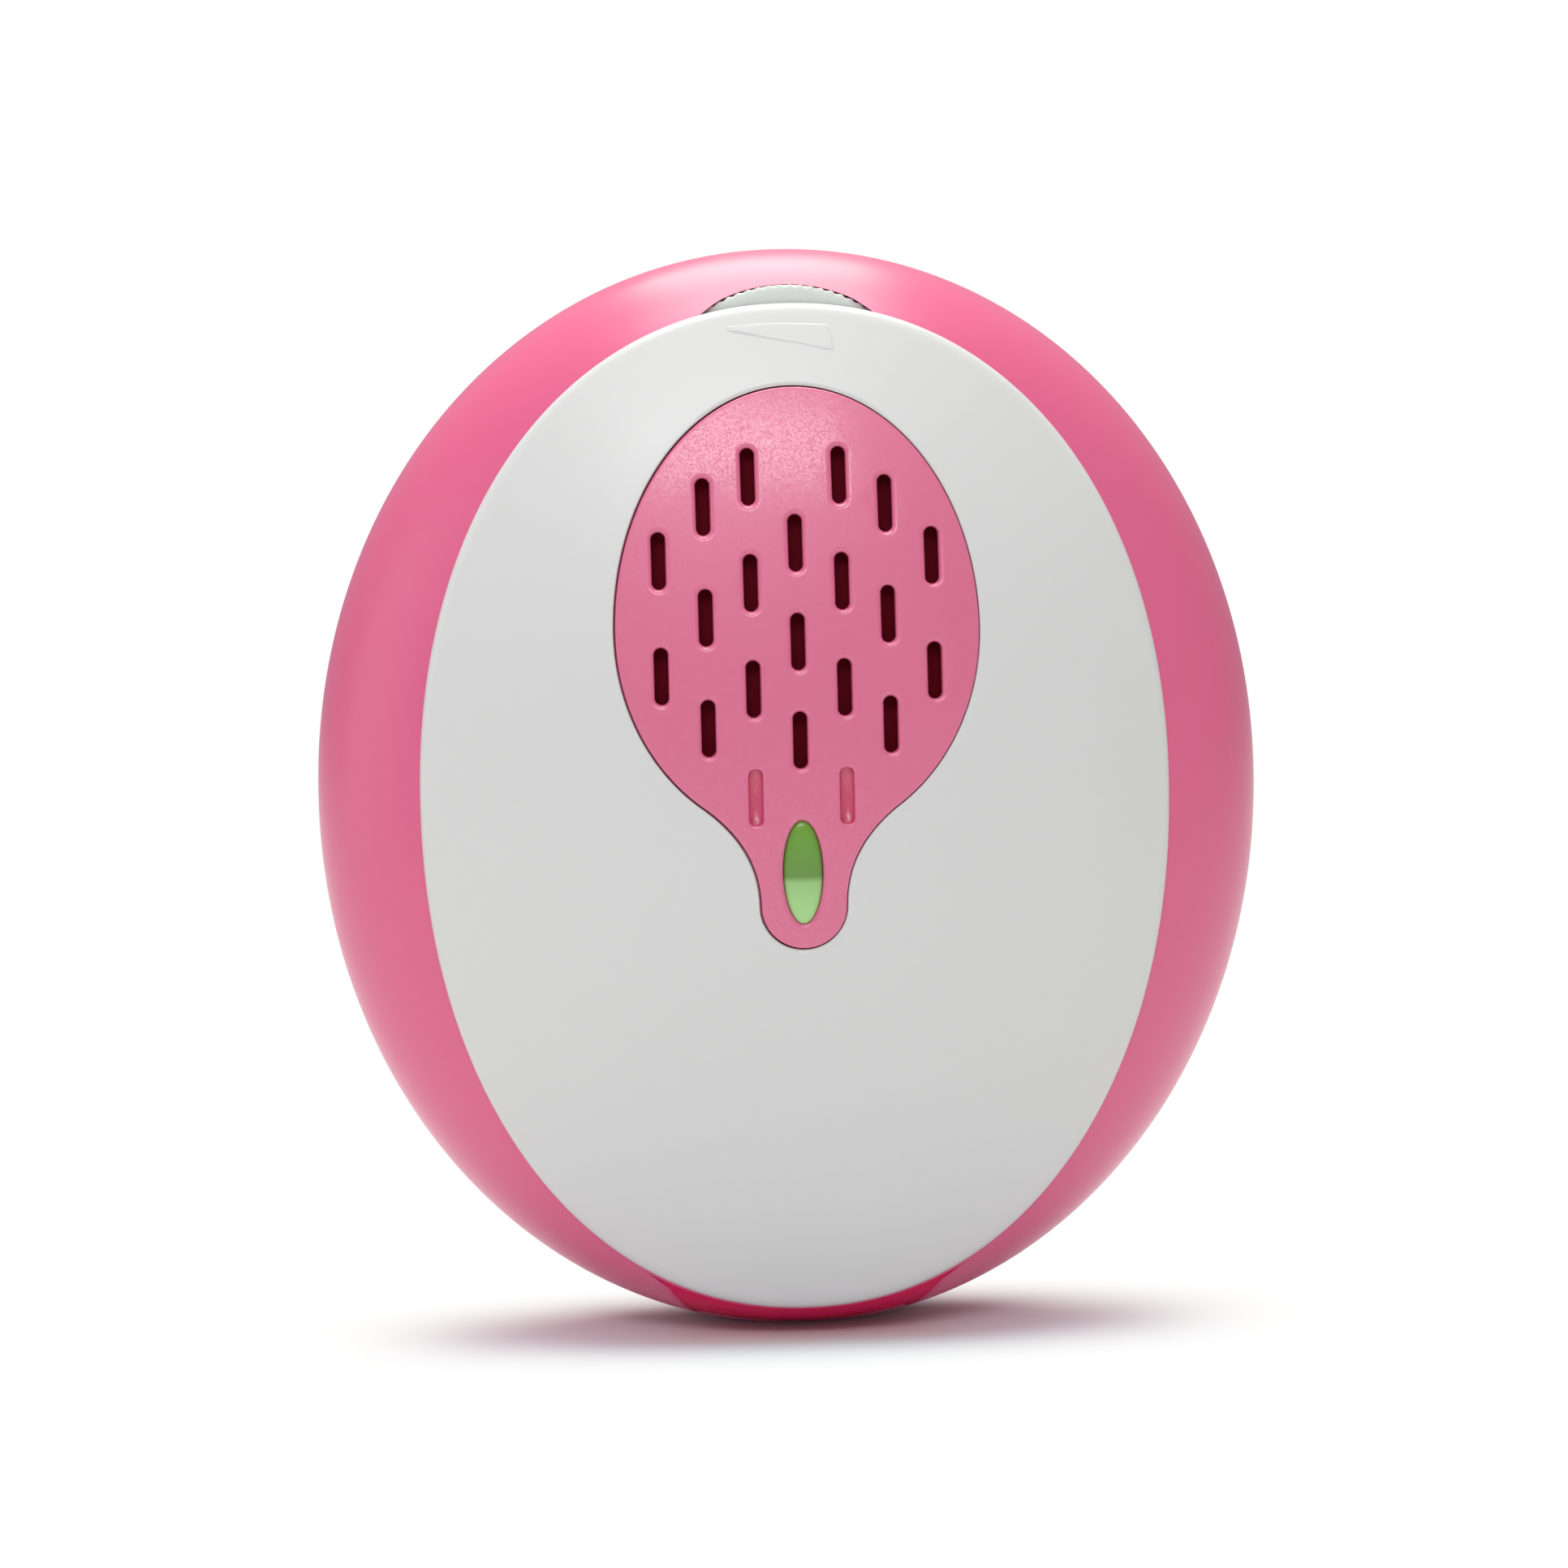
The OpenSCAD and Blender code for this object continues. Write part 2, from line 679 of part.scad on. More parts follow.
module pot_shaft() {
    at_middle() color("silver") difference() {
        disc(shaft_front, shaft_back, shaft_r, 0, wheel_rise);
        disc(shaft_front - 1, shaft_front + 2.2, small_r - 0.05, 0, wheel_rise);
    }
}

module wheel_screw() {
    head_front = wheel_y + 0.1;
    at_middle() color("silver") difference() {
        union() {
            disc(head_front, wheel_y + hub_dish - seat_gap, 2.2, 0, wheel_rise);
            disc(head_front, shaft_front + 2, small_r - 0.1, 0, wheel_rise);
        }
        block(-1.6, 1.6, head_front - 1, head_front + 0.5, wheel_rise - 0.25, wheel_rise + 0.25);
    }
}

module volume_pot() {
    at_middle() color(dark) {
        difference() {
            disc(pot_front, board_y - seat_gap, pot_r, 0, wheel_rise);
            disc(pot_front - 1, shaft_back + 0.2, shaft_r + 0.05, 0, wheel_rise);
        }
        for (x = [-2, 0, 2]) block(x - 0.4, x + 0.4, board_y - 0.45, board_y - seat_gap,
            wheel_rise - pot_r - 3, wheel_rise - pot_r + 1);
    }
}

// ---------- probe ----------

module probe_cap() {
    at_middle() color(white) along_y(0, 0, -probe_drop) rotate_extrude() polygon([
        [0, probe_y - cap_t], [skirt_r - skirt_wall, probe_y - cap_t], [skirt_r - skirt_wall, skirt_end],
        [skirt_r, skirt_end], [skirt_r, probe_y - cap_rim_h], [probe_r, probe_y - cap_rim_h],
        [probe_r, probe_y - 1], [probe_r - 0.3, probe_y - 0.3], [probe_r - 1, probe_y], [0, probe_y]]);
}

module probe_seal() {
    at_middle() color(dark)
        tube(seal_y, probe_y - cap_rim_h - seat_gap, probe_r, skirt_r + seat_gap, 0, -probe_drop);
}

module half_crystal(side) {
    y1 = probe_y - cap_t - seat_gap;
    intersection() {
        disc(y1 - crystal_t, y1, crystal_r, 0, -probe_drop);
        block(side > 0 ? crystal_split / 2 : -crystal_r, side > 0 ? crystal_r : -crystal_split / 2,
            y1 - 2, y1 + 1, -probe_drop - crystal_r, crystal_r - probe_drop);
    }
}

module transmit_crystal() {
    at_middle() color("goldenrod") half_crystal(1);
}

module receive_crystal() {
    at_middle() color("goldenrod") half_crystal(-1);
}

module crystal_backing() {
    y1 = probe_y - cap_t - crystal_t - 2 * seat_gap;
    at_middle() color(dark) disc(cup_y + 0.5, y1, crystal_r + 0.3, 0, -probe_drop);
}

module probe_shield() {
    at_middle() color("silver") difference() {
        disc(cup_y, probe_y - cap_t - seat_gap, cup_r, 0, -probe_drop);
        disc(cup_y + 0.4, probe_y, cup_r - 0.4, 0, -probe_drop);
    }
}

module probe_lead() {
    y0 = board_back + seat_gap;
    y1 = cup_y - seat_gap;
    at_middle() color(dark) lead([lead_x, y0, lead_drop - probe_drop], [lead_x, y0 + lead_bow, lead_drop - probe_drop],
        [lead_x, y1 - 2 * lead_bow, -probe_drop], [lead_x, y1, -probe_drop], lead_r, 8);
}

// ---------- loudspeaker and indicator ----------

module speaker_frame() {
    at_middle() color("silver") along_y(speaker_front, 0, speaker_rise) rotate_extrude() polygon([
        [cone_r, 0], [speaker_r, 0], [speaker_r, 1], [speaker_r - 1.8, 1.2], [magnet_r + 1, 2.4],
        [magnet_r, 2.4], [magnet_r, 1.9], [cone_r - 1, 1.1], [cone_r, 0.9]]);
}

module speaker_cone() {
    at_middle() color(dark) along_y(speaker_front, 0, speaker_rise) rotate_extrude() polygon([
        [0, 0.1], [3, 0.35], [6, 1], [9, 0.6], [cone_r - seat_gap, 0.2], [cone_r - seat_gap, 0.5],
        [9, 0.9], [6, 1.3], [3, 0.65], [0, 0.4]]);
}

module speaker_magnet() {
    at_middle() color(dark) disc(speaker_front + 1.4, speaker_front + speaker_d, magnet_r - seat_gap, 0, speaker_rise);
}

module speaker_gasket() {
    at_middle() color(dark) tube(speaker_seat + seat_gap / 2, speaker_seat + gasket_t, speaker_r - 0.1, cone_r + 0.1,
        0, speaker_rise);
}

module speaker_leads() {
    y0 = speaker_front + tap_depth;
    y1 = board_y - seat_gap;
    at_middle() color("firebrick") for (s = [-1, 1])
        lead([s * tap_x, y0, speaker_rise - tap_drop], [s * tap_x, y0 + tap_bow, speaker_rise - tap_drop],
            [s * land_x, y1 - 2 * tap_bow, land_rise], [s * land_x, y1, land_rise], tap_r, 6);
}

module indicator_led() {
    y0 = crown_y(0) + 0.25 + grille_t + cover_wall + 0.1;
    at_middle() color([0.5, 0.8, 0.5]) {
        along_y(y0 + led_r, 0, lens_z) sphere(led_r);
        disc(y0 + led_r, y0 + led_l, led_r, 0, lens_z);
        for (s = [-1, 1]) block(s * leg_x - leg_w / 2, s * leg_x + leg_w / 2, y0 + led_l - 1, board_y - seat_gap,
            lens_z - leg_w / 2, lens_z + leg_w / 2);
    }
}

// ---------- electronics and fasteners ----------

module main_board() {
    at_middle() color("darkgreen") difference() {
        slab(board_y, board_back) {
            translate([-board_w / 2, board_low]) square([board_w, bay_top - board_low]);
            translate([-ear_w / 2, bay_top - 1]) square([ear_w, ear_top - bay_top + 1]);
            translate([-foot_w / 2, foot_low]) square([foot_w, board_low - foot_low + 1]);
            translate([-pot_r, bay_top]) square([2 * pot_r, wheel_rise + pot_r + 1.1 - bay_top]);
        }
        for (p = upper_screws) disc(board_y - 1, board_back + 1, screw_r + fit_gap, p[0], p[1]);
        for (p = board_posts) disc(board_y - 1, board_back + 1, small_r + fit_gap, p[0], p[1]);
    }
}

module board_components() {
    top = board_y - seat_gap;
    at_middle() color(dark) {
        for (c = chips) block(c[0], c[1], top - c[4], top, c[2], c[3]);
        for (c = cans) disc(top - c[3], top, c[2], c[0], c[1]);
    }
}

module board_screws() {
    at_middle() color("silver") for (p = board_posts) difference() {
        union() {
            disc(board_back + seat_gap, board_back + 1.2, small_head_r, p[0], p[1]);
            disc(board_y - 4.5, board_back + 0.5, small_r, p[0], p[1]);
        }
        block(p[0] - 1.2, p[0] + 1.2, board_back + 0.8, board_back + 2, p[1] - small_slot / 2, p[1] + small_slot / 2);
    }
}

module case_screw(x, z, tip) {
    difference() {
        union() {
            disc(head_y + seat_gap, head_y + head_t, head_r, x, z);
            disc(tip, head_y + 0.5, screw_r, x, z);
        }
        for (a = [0, 90]) translate([x, 0, z]) rotate([0, a, 0])
            block(-cross_l / 2, cross_l / 2, head_y + head_t - cross_d, head_y + head_t + 1, -cross_w / 2, cross_w / 2);
    }
}

module case_screws() {
    at_middle() color("silver") {
        for (p = upper_screws) case_screw(p[0], p[1], board_y - pilot_depth + 1.5);
        for (p = lower_screws) case_screw(p[0], p[1], board_back - pilot_depth + 1.5);
    }
}

module audio_jack(x) {
    difference() {
        block(x - jack_w / 2, x + jack_w / 2, jack_front, jack_back, jack_low, jack_high);
        translate([x, jack_y, jack_low - 1]) cylinder(h = jack_bore_l + 1, r = jack_r);
    }
}

module earphone_jack() {
    at_middle() color(dark) audio_jack(-jack_x);
}

module record_jack() {
    at_middle() color(dark) audio_jack(jack_x);
}

module cell(side) {
    body_l = cell_l - button_l;
    z = bay_rise + side * cell_pitch / 2;
    translate([-side * cell_l / 2, cell_y, z]) rotate([0, side * 90, 0]) {
        cylinder(h = body_l, r = cell_r);
        cylinder(h = cell_l, r = button_r);
    }
}

module upper_cell() {
    at_middle() color([0.75, 0.55, 0.25]) cell(1);
}

module lower_cell() {
    at_middle() color([0.75, 0.55, 0.25]) cell(-1);
}

// A bent strip that presses on one end of a cell
module leaf(side, z) {
    wall_x = bay_w / 2 - plate_t;
    tip_x = cell_l / 2 + seat_gap;
    mid = (wall_x + tip_x) / 2;
    slab(cell_y - 2, cell_y + 2) polygon([for (p = [[wall_x + 0.05, z - 3], [tip_x, z], [wall_x + 0.05, z + 3],
        [wall_x + 0.05, z + 2.4], [tip_x + 0.4, z], [wall_x + 0.05, z - 2.4]]) [side * p[0], p[1]]]);
}

module contact_plate(side, z0, z1) {
    x0 = bay_w / 2 - plate_t;
    x1 = bay_w / 2 - seat_gap;
    block(side > 0 ? x0 : -x1, side > 0 ? x1 : -x0, tray_floor + seat_gap, cell_y + 3.5, z0, z1);
}

module cell_bridge() {
    at_middle() color("silver") {
        contact_plate(-1, bay_rise - cell_pitch / 2 - 4, bay_rise + cell_pitch / 2 + 4);
        for (s = [-1, 1]) leaf(-1, bay_rise + s * cell_pitch / 2);
    }
}

module cell_terminals() {
    at_middle() color("silver") for (s = [-1, 1]) {
        z = bay_rise + s * cell_pitch / 2;
        contact_plate(1, z - 4, z + 4);
        leaf(1, z);
        block(bay_w / 2 - plate_t, bay_w / 2 - seat_gap, board_back + seat_gap, tray_floor + 1, z - 0.8, z + 0.8);
    }
}

front_bezel();
front_cover();
grille_plate();
indicator_lens();
rear_shell();
jack_panel();
battery_door();
door_pad();
volume_wheel();
wheel_screw();
pot_shaft();
volume_pot();
probe_cap();
probe_seal();
transmit_crystal();
receive_crystal();
crystal_backing();
probe_shield();
probe_lead();
speaker_frame();
speaker_cone();
speaker_magnet();
speaker_gasket();
speaker_leads();
indicator_led();
main_board();
board_components();
board_screws();
case_screws();
earphone_jack();
record_jack();
upper_cell();
lower_cell();
cell_bridge();
cell_terminals();
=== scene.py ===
"""Looks of a pocket fetal doppler monitor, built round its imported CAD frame.

Shapes are worked out in millimetres about the body's middle, then put into meshes in metres.
+X is right seen from the front, +Y runs back to the probe face, +Z is up.
"""
import math

import bpy
import numpy as np
from mathutils import Matrix, Vector
from mathutils.geometry import delaunay_2d_cdt


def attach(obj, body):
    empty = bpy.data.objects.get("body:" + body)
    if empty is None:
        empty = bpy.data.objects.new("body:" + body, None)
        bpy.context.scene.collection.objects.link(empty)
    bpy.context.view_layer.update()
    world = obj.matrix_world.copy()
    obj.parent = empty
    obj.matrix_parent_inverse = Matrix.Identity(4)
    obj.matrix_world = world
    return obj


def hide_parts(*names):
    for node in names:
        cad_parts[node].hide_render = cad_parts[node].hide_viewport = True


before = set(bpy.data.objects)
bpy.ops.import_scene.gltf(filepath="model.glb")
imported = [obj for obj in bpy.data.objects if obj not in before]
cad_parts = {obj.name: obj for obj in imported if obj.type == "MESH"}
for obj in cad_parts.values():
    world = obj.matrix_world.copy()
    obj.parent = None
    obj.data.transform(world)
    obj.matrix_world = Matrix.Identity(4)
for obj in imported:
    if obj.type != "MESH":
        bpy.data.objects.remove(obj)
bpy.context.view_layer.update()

# ---------- sizes, as in the part's source ----------

MM = 0.001
MID_Z = 47.0
BODY_A, BODY_B, BODY_N, BODY_K = 41.5, 47.5, 2.03, 0.004
COVER_A, COVER_B, COVER_N, COVER_K, COVER_LIFT = 32.1, 43.2, 2.12, 0.02, -0.8
EDGE_Y, RIM_Y, SEAT_Y, SEAM_Y, BACK_Y, PROBE_Y = -10.5, -9.9, -8.2, 2.7, 14.0, 18.0
CROWN, CROWN_POWER, COVER_WALL = 7.5, 2.3, 2.0
WALL, REAR_ROUND, ARC_START = 2.0, 14.0, math.radians(40)
COVER_GAP = 0.06
WHEEL_R, WHEEL_Z, WHEEL_Y, WHEEL_T, WHEEL_TEETH, WHEEL_ROOM = 13.0, 31.1, -8.9, 2.7, 90, 13.04
LENS_Z, LENS_W, LENS_H = -5.35, 3.3, 8.7
SLOT_W, SLOT_L, SLOT_PITCH = 1.2, 4.8, 3.84
SLOT_TOP = (22.3, 27.9, 25.45, 21.0)
SLOT_COUNT = (3, 3, 3, 2)
SLOT_STEP = (8.25, 8.87, 9.26, 9.65)
BLIND_Z = 1.05
ARC_END, LEDGE_Y, SHELF_Y, ROOM_Y = math.radians(89), -6.85, -8.15, -5.9
BAY_X, BAY_FRONT, BAY_BACK, BAY_TAPER = 14.2, -9.55, -1.8, 5.0
BAY_REACH = 26.0  # half width within which the bezel's net follows the bay's ends
BAY_LEAD, BAY_STEPS = 3, 15  # rows of the bezel's net before the bay, and along it
PANEL_SINK, PANEL_T = 0.2, 1.4
PLUG_X, PLUG_Y, PLUG_R = 7, -4.5, 2.2
PROBE_R, PROBE_Z = 16.5, -19.0
DOOR_W, DOOR_H, DOOR_Z = 50.3, 23.6, 13.8
GROOVE_Z, GROOVE_PITCH = 21.0, 1.6
TRAY_W, TRAY_H = 49.3, 22.4
WELLS = ((-17.5, 29.5), (17.5, 29.5), (-23.0, -21.0), (23.0, -21.0))

# ---------- outlines and surfaces ----------


def signed_power(v, power):
    """|v| to a power, with v's sign."""
    return np.sign(v) * np.abs(v) ** power


def egg(t, a, b, n, k, lift=0.0):
    """Superellipse of half sizes a and b and squareness n, widened by k towards the top."""
    z = b * signed_power(np.sin(t), 2 / n)
    x = a * (1 + k * z / b) * signed_power(np.cos(t), 2 / n)
    return x, z + lift


def body_egg(t, inset=0.0):
    """The body's outline, drawn in by an inset."""
    return egg(t, BODY_A - inset, BODY_B - inset, BODY_N, BODY_K)


def cover_egg(t, grow=0.0):
    """The cover's outline, grown by a little or drawn in."""
    return egg(t, COVER_A + grow, COVER_B + grow, COVER_N, COVER_K, COVER_LIFT)


def cover_share(x, z):
    """Share of the way from the cover's centre to its outline, settled by a few repeats."""
    up = (z - COVER_LIFT) / COVER_B
    share = np.hypot(x / COVER_A, up) + 1e-9
    for _ in range(5):
        wide = COVER_A * (1 + COVER_K * up / share)
        share = (np.abs(x / wide) ** COVER_N + np.abs(up) ** COVER_N) ** (1 / COVER_N) + 1e-9
    return share


def crown(x, z):
    """The cover's crown: its edge plane less the rise times one minus share to a power."""
    return EDGE_Y - CROWN * (1 - cover_share(x, z) ** CROWN_POWER)


def arc_out(s):
    """Share of the way from the cover's rim to the body's outline along the bezel's arc."""
    return (np.sin(s) - math.sin(ARC_START)) / (1 - math.sin(ARC_START))


def bezel_xz(t, s, inset=0.0, grow=COVER_GAP):
    """Bezel outline at arc angle s: the cover's outline blended into the body's."""
    f = arc_out(s)
    (cx, cz), (bx, bz) = cover_egg(t, grow - inset), body_egg(t, inset)
    return cx + (bx - cx) * f, cz + (bz - cz) * f


def bezel_y(s, rim=RIM_Y):
    """Plane of the bezel's arc at angle s, a cosine from the rim back to the seam."""
    return SEAM_Y - (SEAM_Y - rim) * np.cos(s) / math.cos(ARC_START)


def body_inset(x, z):
    """How far inside the body's outline each point lies, found by halving an interval."""
    low, high = np.zeros_like(x), np.full_like(x, BODY_A - 0.01)
    for _ in range(40):
        e = (low + high) / 2
        a, b = BODY_A - e, BODY_B - e
        out = np.abs(x / (a * (1 + BODY_K * z / b))) ** BODY_N + np.abs(z / b) ** BODY_N > 1
        high, low = np.where(out, e, high), np.where(out, low, e)
    return (low + high) / 2


def rear_y(x, z, wall=0.0):
    """Rear shell: a quarter round from the seam up to the flat back, or its inside at a wall's depth."""
    c = np.clip(1 - (body_inset(x, z) - wall) / REAR_ROUND, 0, 1)
    return SEAM_Y + (BACK_Y - wall - SEAM_Y) * np.sqrt(1 - c * c)


def balloon(grow=0.0, fine=90):
    """Grille outline: an elliptic top, a fuller lower half, a hollow neck and a round tail."""
    turn = np.radians(np.linspace(90, -58, fine))
    down = np.where(turn > 0, 20.4, 17.5) + grow
    body = np.stack([(15.35 + grow) * np.cos(turn), 15.0 + down * np.sin(turn)], 1)
    p, tail = body[-1], 3.6 + grow
    u = np.linspace(0, 1, fine // 3)[1:, None]
    q, r = np.array([tail, p[1] - 3.4]), np.array([tail, -8.2])
    neck = (1 - u) ** 2 * p + 2 * u * (1 - u) * q + u * u * r
    turn = np.radians(np.linspace(0, -90, fine // 3))[1:]
    foot = np.stack([tail * np.cos(turn), tail * np.sin(turn) - 8.2], 1)
    right = np.concatenate([body, neck, foot])
    left = right[-2:0:-1] * [-1, 1]
    return np.concatenate([right, left])[::-1]


def slot_outline(x, z, grow, around=28):
    """A straight slot with round ends."""
    r = SLOT_W / 2 + grow
    turn = np.linspace(0, 2 * np.pi, around, endpoint=False) + np.pi / around
    up = np.where(np.sin(turn) > 0, 1, -1) * (SLOT_L - SLOT_W) / 2
    return np.stack([x + r * np.cos(turn), z + r * np.sin(turn) + up], 1)


def oval(x, z, a, b, around=48):
    """An ellipse of half sizes a and b about (x, z)."""
    turn = np.linspace(0, 2 * np.pi, around, endpoint=False)
    return np.stack([x + a * np.cos(turn), z + b * np.sin(turn)], 1)


def round_box(x, z, width, height, corner, around=12, sides=24):
    """A rectangle with round corners, with points along its sides too."""
    turn = np.linspace(0, np.pi / 2, around)
    out = []
    for k, (sx, sz) in enumerate(((1, 1), (-1, 1), (-1, -1), (1, -1))):
        c = np.array([sx * (width / 2 - corner), sz * (height / 2 - corner)])
        out.append(c + corner * np.stack([np.cos(turn + k * np.pi / 2), np.sin(turn + k * np.pi / 2)], 1))
    loop = []
    for k in range(4):
        loop.append(out[k])
        a, b = out[k][-1], out[(k + 1) % 4][0]
        loop.append(a + (b - a) * np.linspace(0, 1, sides)[1:-1, None])
    return np.concatenate(loop) + [x, z]


# ---------- meshes ----------


def grid_faces(rows, columns):
    """Quads of a grid whose columns join end to end, listed so that a skin through
    counter-clockwise rings going back along +Y faces outwards."""
    i, j = np.meshgrid(np.arange(rows - 1), np.arange(columns), indexing="ij")
    k = (j + 1) % columns
    return np.stack([i * columns + j, (i + 1) * columns + j, (i + 1) * columns + k, i * columns + k], 2).reshape(-1, 4)


def wrapped_faces(rows, columns):
    """Quads of a grid whose last row joins the first one too."""
    last = grid_faces(2, columns)
    return np.concatenate([grid_faces(rows, columns),
                           np.where(last < columns, last + (rows - 1) * columns, last - columns)])


def weld(points, quads, tris):
    """Merges corners that share a place, and drops or narrows the faces that this closes up."""
    _, first, where = np.unique(np.round(points, 4), axis=0, return_index=True, return_inverse=True)
    where = where.ravel()
    points, q, t = points[first], where[quads], where[tris]
    same = q == np.roll(q, -1, 1)
    count = same.sum(1)
    narrow = q[count == 1][~same[count == 1]].reshape(-1, 3)
    t = np.concatenate([t.reshape(-1, 3), narrow])
    t = t[(t[:, 0] != t[:, 1]) & (t[:, 1] != t[:, 2]) & (t[:, 0] != t[:, 2])]
    q = q[(count == 0) & (q[:, 0] != q[:, 2]) & (q[:, 1] != q[:, 3])]
    return points, q, t


NO_TRIS = np.zeros((0, 3), int)


def join(*parts):
    """Puts several (points, quads, tris) together."""
    points, quads, tris, n = [], [], [], 0
    for p, q, t in parts:
        points.append(p)
        quads.append(q.reshape(-1, 4) + n)
        tris.append(t.reshape(-1, 3) + n)
        n += len(p)
    return np.concatenate(points), np.concatenate(quads), np.concatenate(tris)


def lathe(profile, x, z, around):
    """A closed profile of (radius, plane) turned about a line along Y through (x, z)."""
    r, y = np.array(profile, float).T
    turn = np.linspace(0, 2 * np.pi, around, endpoint=False)
    points = np.stack([x + r[:, None] * np.cos(turn), y[:, None] + 0 * turn, z + r[:, None] * np.sin(turn)], 2)
    return weld(points.reshape(-1, 3), wrapped_faces(len(r), around), NO_TRIS)


def ring_loft(rings):
    """A skin through rings of equal count, each (points in X and Z, plane or planes), with a fan of
    triangles over each end."""
    count = len(rings[0][0])
    points = np.concatenate([np.column_stack([p[:, 0], np.broadcast_to(y, count), p[:, 1]]) for p, y in rings])
    j = np.arange(count)
    k, n = (j + 1) % count, len(points)
    front, back = points[:count].mean(0), points[-count:].mean(0)
    base = n - count
    tris = np.concatenate([np.stack([j, k, np.full(count, n)], 1),
                           np.stack([base + k, base + j, np.full(count, n + 1)], 1)])
    return np.concatenate([points, [front, back]]), grid_faces(len(rings), count), tris


def inside(points, loop):
    """Even-odd test of many points against one closed outline."""
    x, z = points[:, :1], points[:, 1:]
    a, b = loop, np.roll(loop, -1, 0)
    crosses = (a[:, 1] > z) != (b[:, 1] > z)
    rise = np.where(a[:, 1] == b[:, 1], 1, b[:, 1] - a[:, 1])
    return (crosses & (x < a[:, 0] + (z - a[:, 1]) * (b[:, 0] - a[:, 0]) / rise)).sum(1) % 2 == 1


def pierced(outer, holes, blinds, front, back, spacing, shift=None):
    """A plate between two curved faces, with an outline, through holes and blind dents.

    Each of them is a list of rings from the front face to the back face, or to the dent's floor:
    (points in X and Z, planes), counter-clockwise and of equal count. front and back give the plane
    of each face at any point, and shift moves the back face's own points. Triangles come from a
    constrained Delaunay net of the outlines and a hexagonal lattice between them."""
    firsts = [r[0][0] for r in [outer, *holes, *blinds]]
    low, high = firsts[0].min(0), firsts[0].max(0)
    gx, gz = np.meshgrid(np.arange(low[0], high[0], spacing), np.arange(low[1], high[1], spacing * 0.87))
    gx = gx + (np.arange(gx.shape[0]) % 2 * spacing / 2)[:, None]
    lattice = np.stack([gx.ravel(), gz.ravel()], 1)
    lattice = lattice[inside(lattice, firsts[0])]
    edge = np.concatenate(firsts)
    near = np.concatenate([np.sqrt(((part[:, None] - edge[None]) ** 2).sum(2)).min(1)
                           for part in np.array_split(lattice, max(1, len(lattice) // 500))])
    lattice = lattice[near > 0.62 * spacing]
    for r in holes:
        lattice = lattice[~inside(lattice, r[0][0])]
    flat = np.concatenate([edge, lattice])
    starts = np.cumsum([0] + [len(f) for f in firsts])
    edges = [(int(s + i), int(s + (i + 1) % len(f))) for s, f in zip(starts, firsts) for i in range(len(f))]
    net = delaunay_2d_cdt([Vector(p) for p in flat.tolist()], edges, [], 0, 1e-6)
    origin = np.array([o[0] for o in net[3]])
    tris = origin[np.array(net[2])]
    a, b, c = (flat[tris[:, k]] for k in range(3))
    turned = (b[:, 0] - a[:, 0]) * (c[:, 1] - a[:, 1]) - (b[:, 1] - a[:, 1]) * (c[:, 0] - a[:, 0]) < 0
    tris[turned] = tris[turned][:, ::-1]
    middle = (a + b + c) / 3
    keep = inside(middle, firsts[0])
    for r in holes:
        keep &= ~inside(middle, r[0][0])
    tris, middle = tris[keep], middle[keep]
    whole = np.ones(len(tris), bool)
    for r in blinds:
        whole &= ~inside(middle, r[0][0])
    n = len(flat)
    rear = flat.copy() if shift is None else shift(flat)
    rear_planes = back(rear[:, 0], rear[:, 1])
    for s, r in zip(starts, [outer, *holes]):
        rear[s:s + len(r[0][0])] = r[-1][0]
        rear_planes[s:s + len(r[0][0])] = r[-1][1]
    points = [np.column_stack([flat[:, 0], front(flat[:, 0], flat[:, 1]), flat[:, 1]]),
              np.column_stack([rear[:, 0], rear_planes, rear[:, 1]])]
    quads, more, total = [], [tris[whole], tris[:, ::-1] + n], 2 * n
    for k, (s, r) in enumerate(zip(starts, [outer, *holes, *blinds])):
        count, dent = len(r[0][0]), k > len(holes)
        rows = [np.arange(count) + s]
        for p, y in (r[1:] if dent else r[1:-1]):
            points.append(np.column_stack([p[:, 0], np.broadcast_to(y, count), p[:, 1]]))
            rows.append(np.arange(count) + total)
            total += count
        if not dent:
            rows.append(np.arange(count) + n + s)
        for u, v in zip(rows, rows[1:]):
            q = np.stack([u, v, np.roll(v, -1), np.roll(u, -1)], 1)
            quads.append(q if k == 0 else q[:, ::-1])
        if dent:
            points.append(points[-1].mean(0)[None])
            more.append(np.stack([rows[-1], np.roll(rows[-1], -1), np.full(count, total)], 1))
            total += 1
    return np.concatenate(points), np.concatenate(quads), np.concatenate(more)


def turned_round(part):
    """Half a turn about the upright axis, so that a plate's front face looks back."""
    points, quads, tris = part
    return points * [-1, -1, 1], quads, tris


def add_piece(name, body, part, material, replaces=(), sharp=35, bevel=0.0):
    """Puts (points, quads, tris) in millimetres about the body's middle into an object. Edges over
    sharp degrees stay sharp, and a bevel eases them by its width in millimetres. Nothing reaches
    below the foot's flat, which lies on the floor."""
    points, quads, tris = weld(*part)
    points = (points + [0, 0, MID_Z]) * MM
    points[:, 2] = np.maximum(points[:, 2], 0)
    mesh = bpy.data.meshes.new(name)
    mesh.from_pydata(points.tolist(), [], quads.tolist() + tris.tolist())
    mesh.update()
    mesh.shade_smooth()
    mesh.set_sharp_from_angle(angle=math.radians(sharp))
    piece = bpy.data.objects.new(name, mesh)
    bpy.context.scene.collection.objects.link(piece)
    mesh.materials.append(material)
    if bevel:
        m = piece.modifiers.new("edge", "BEVEL")
        m.width, m.segments, m.limit_method, m.angle_limit = bevel * MM, 2, "ANGLE", math.radians(sharp)
    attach(piece, body)
    if replaces:
        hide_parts(*replaces)


# ---------- finishes ----------


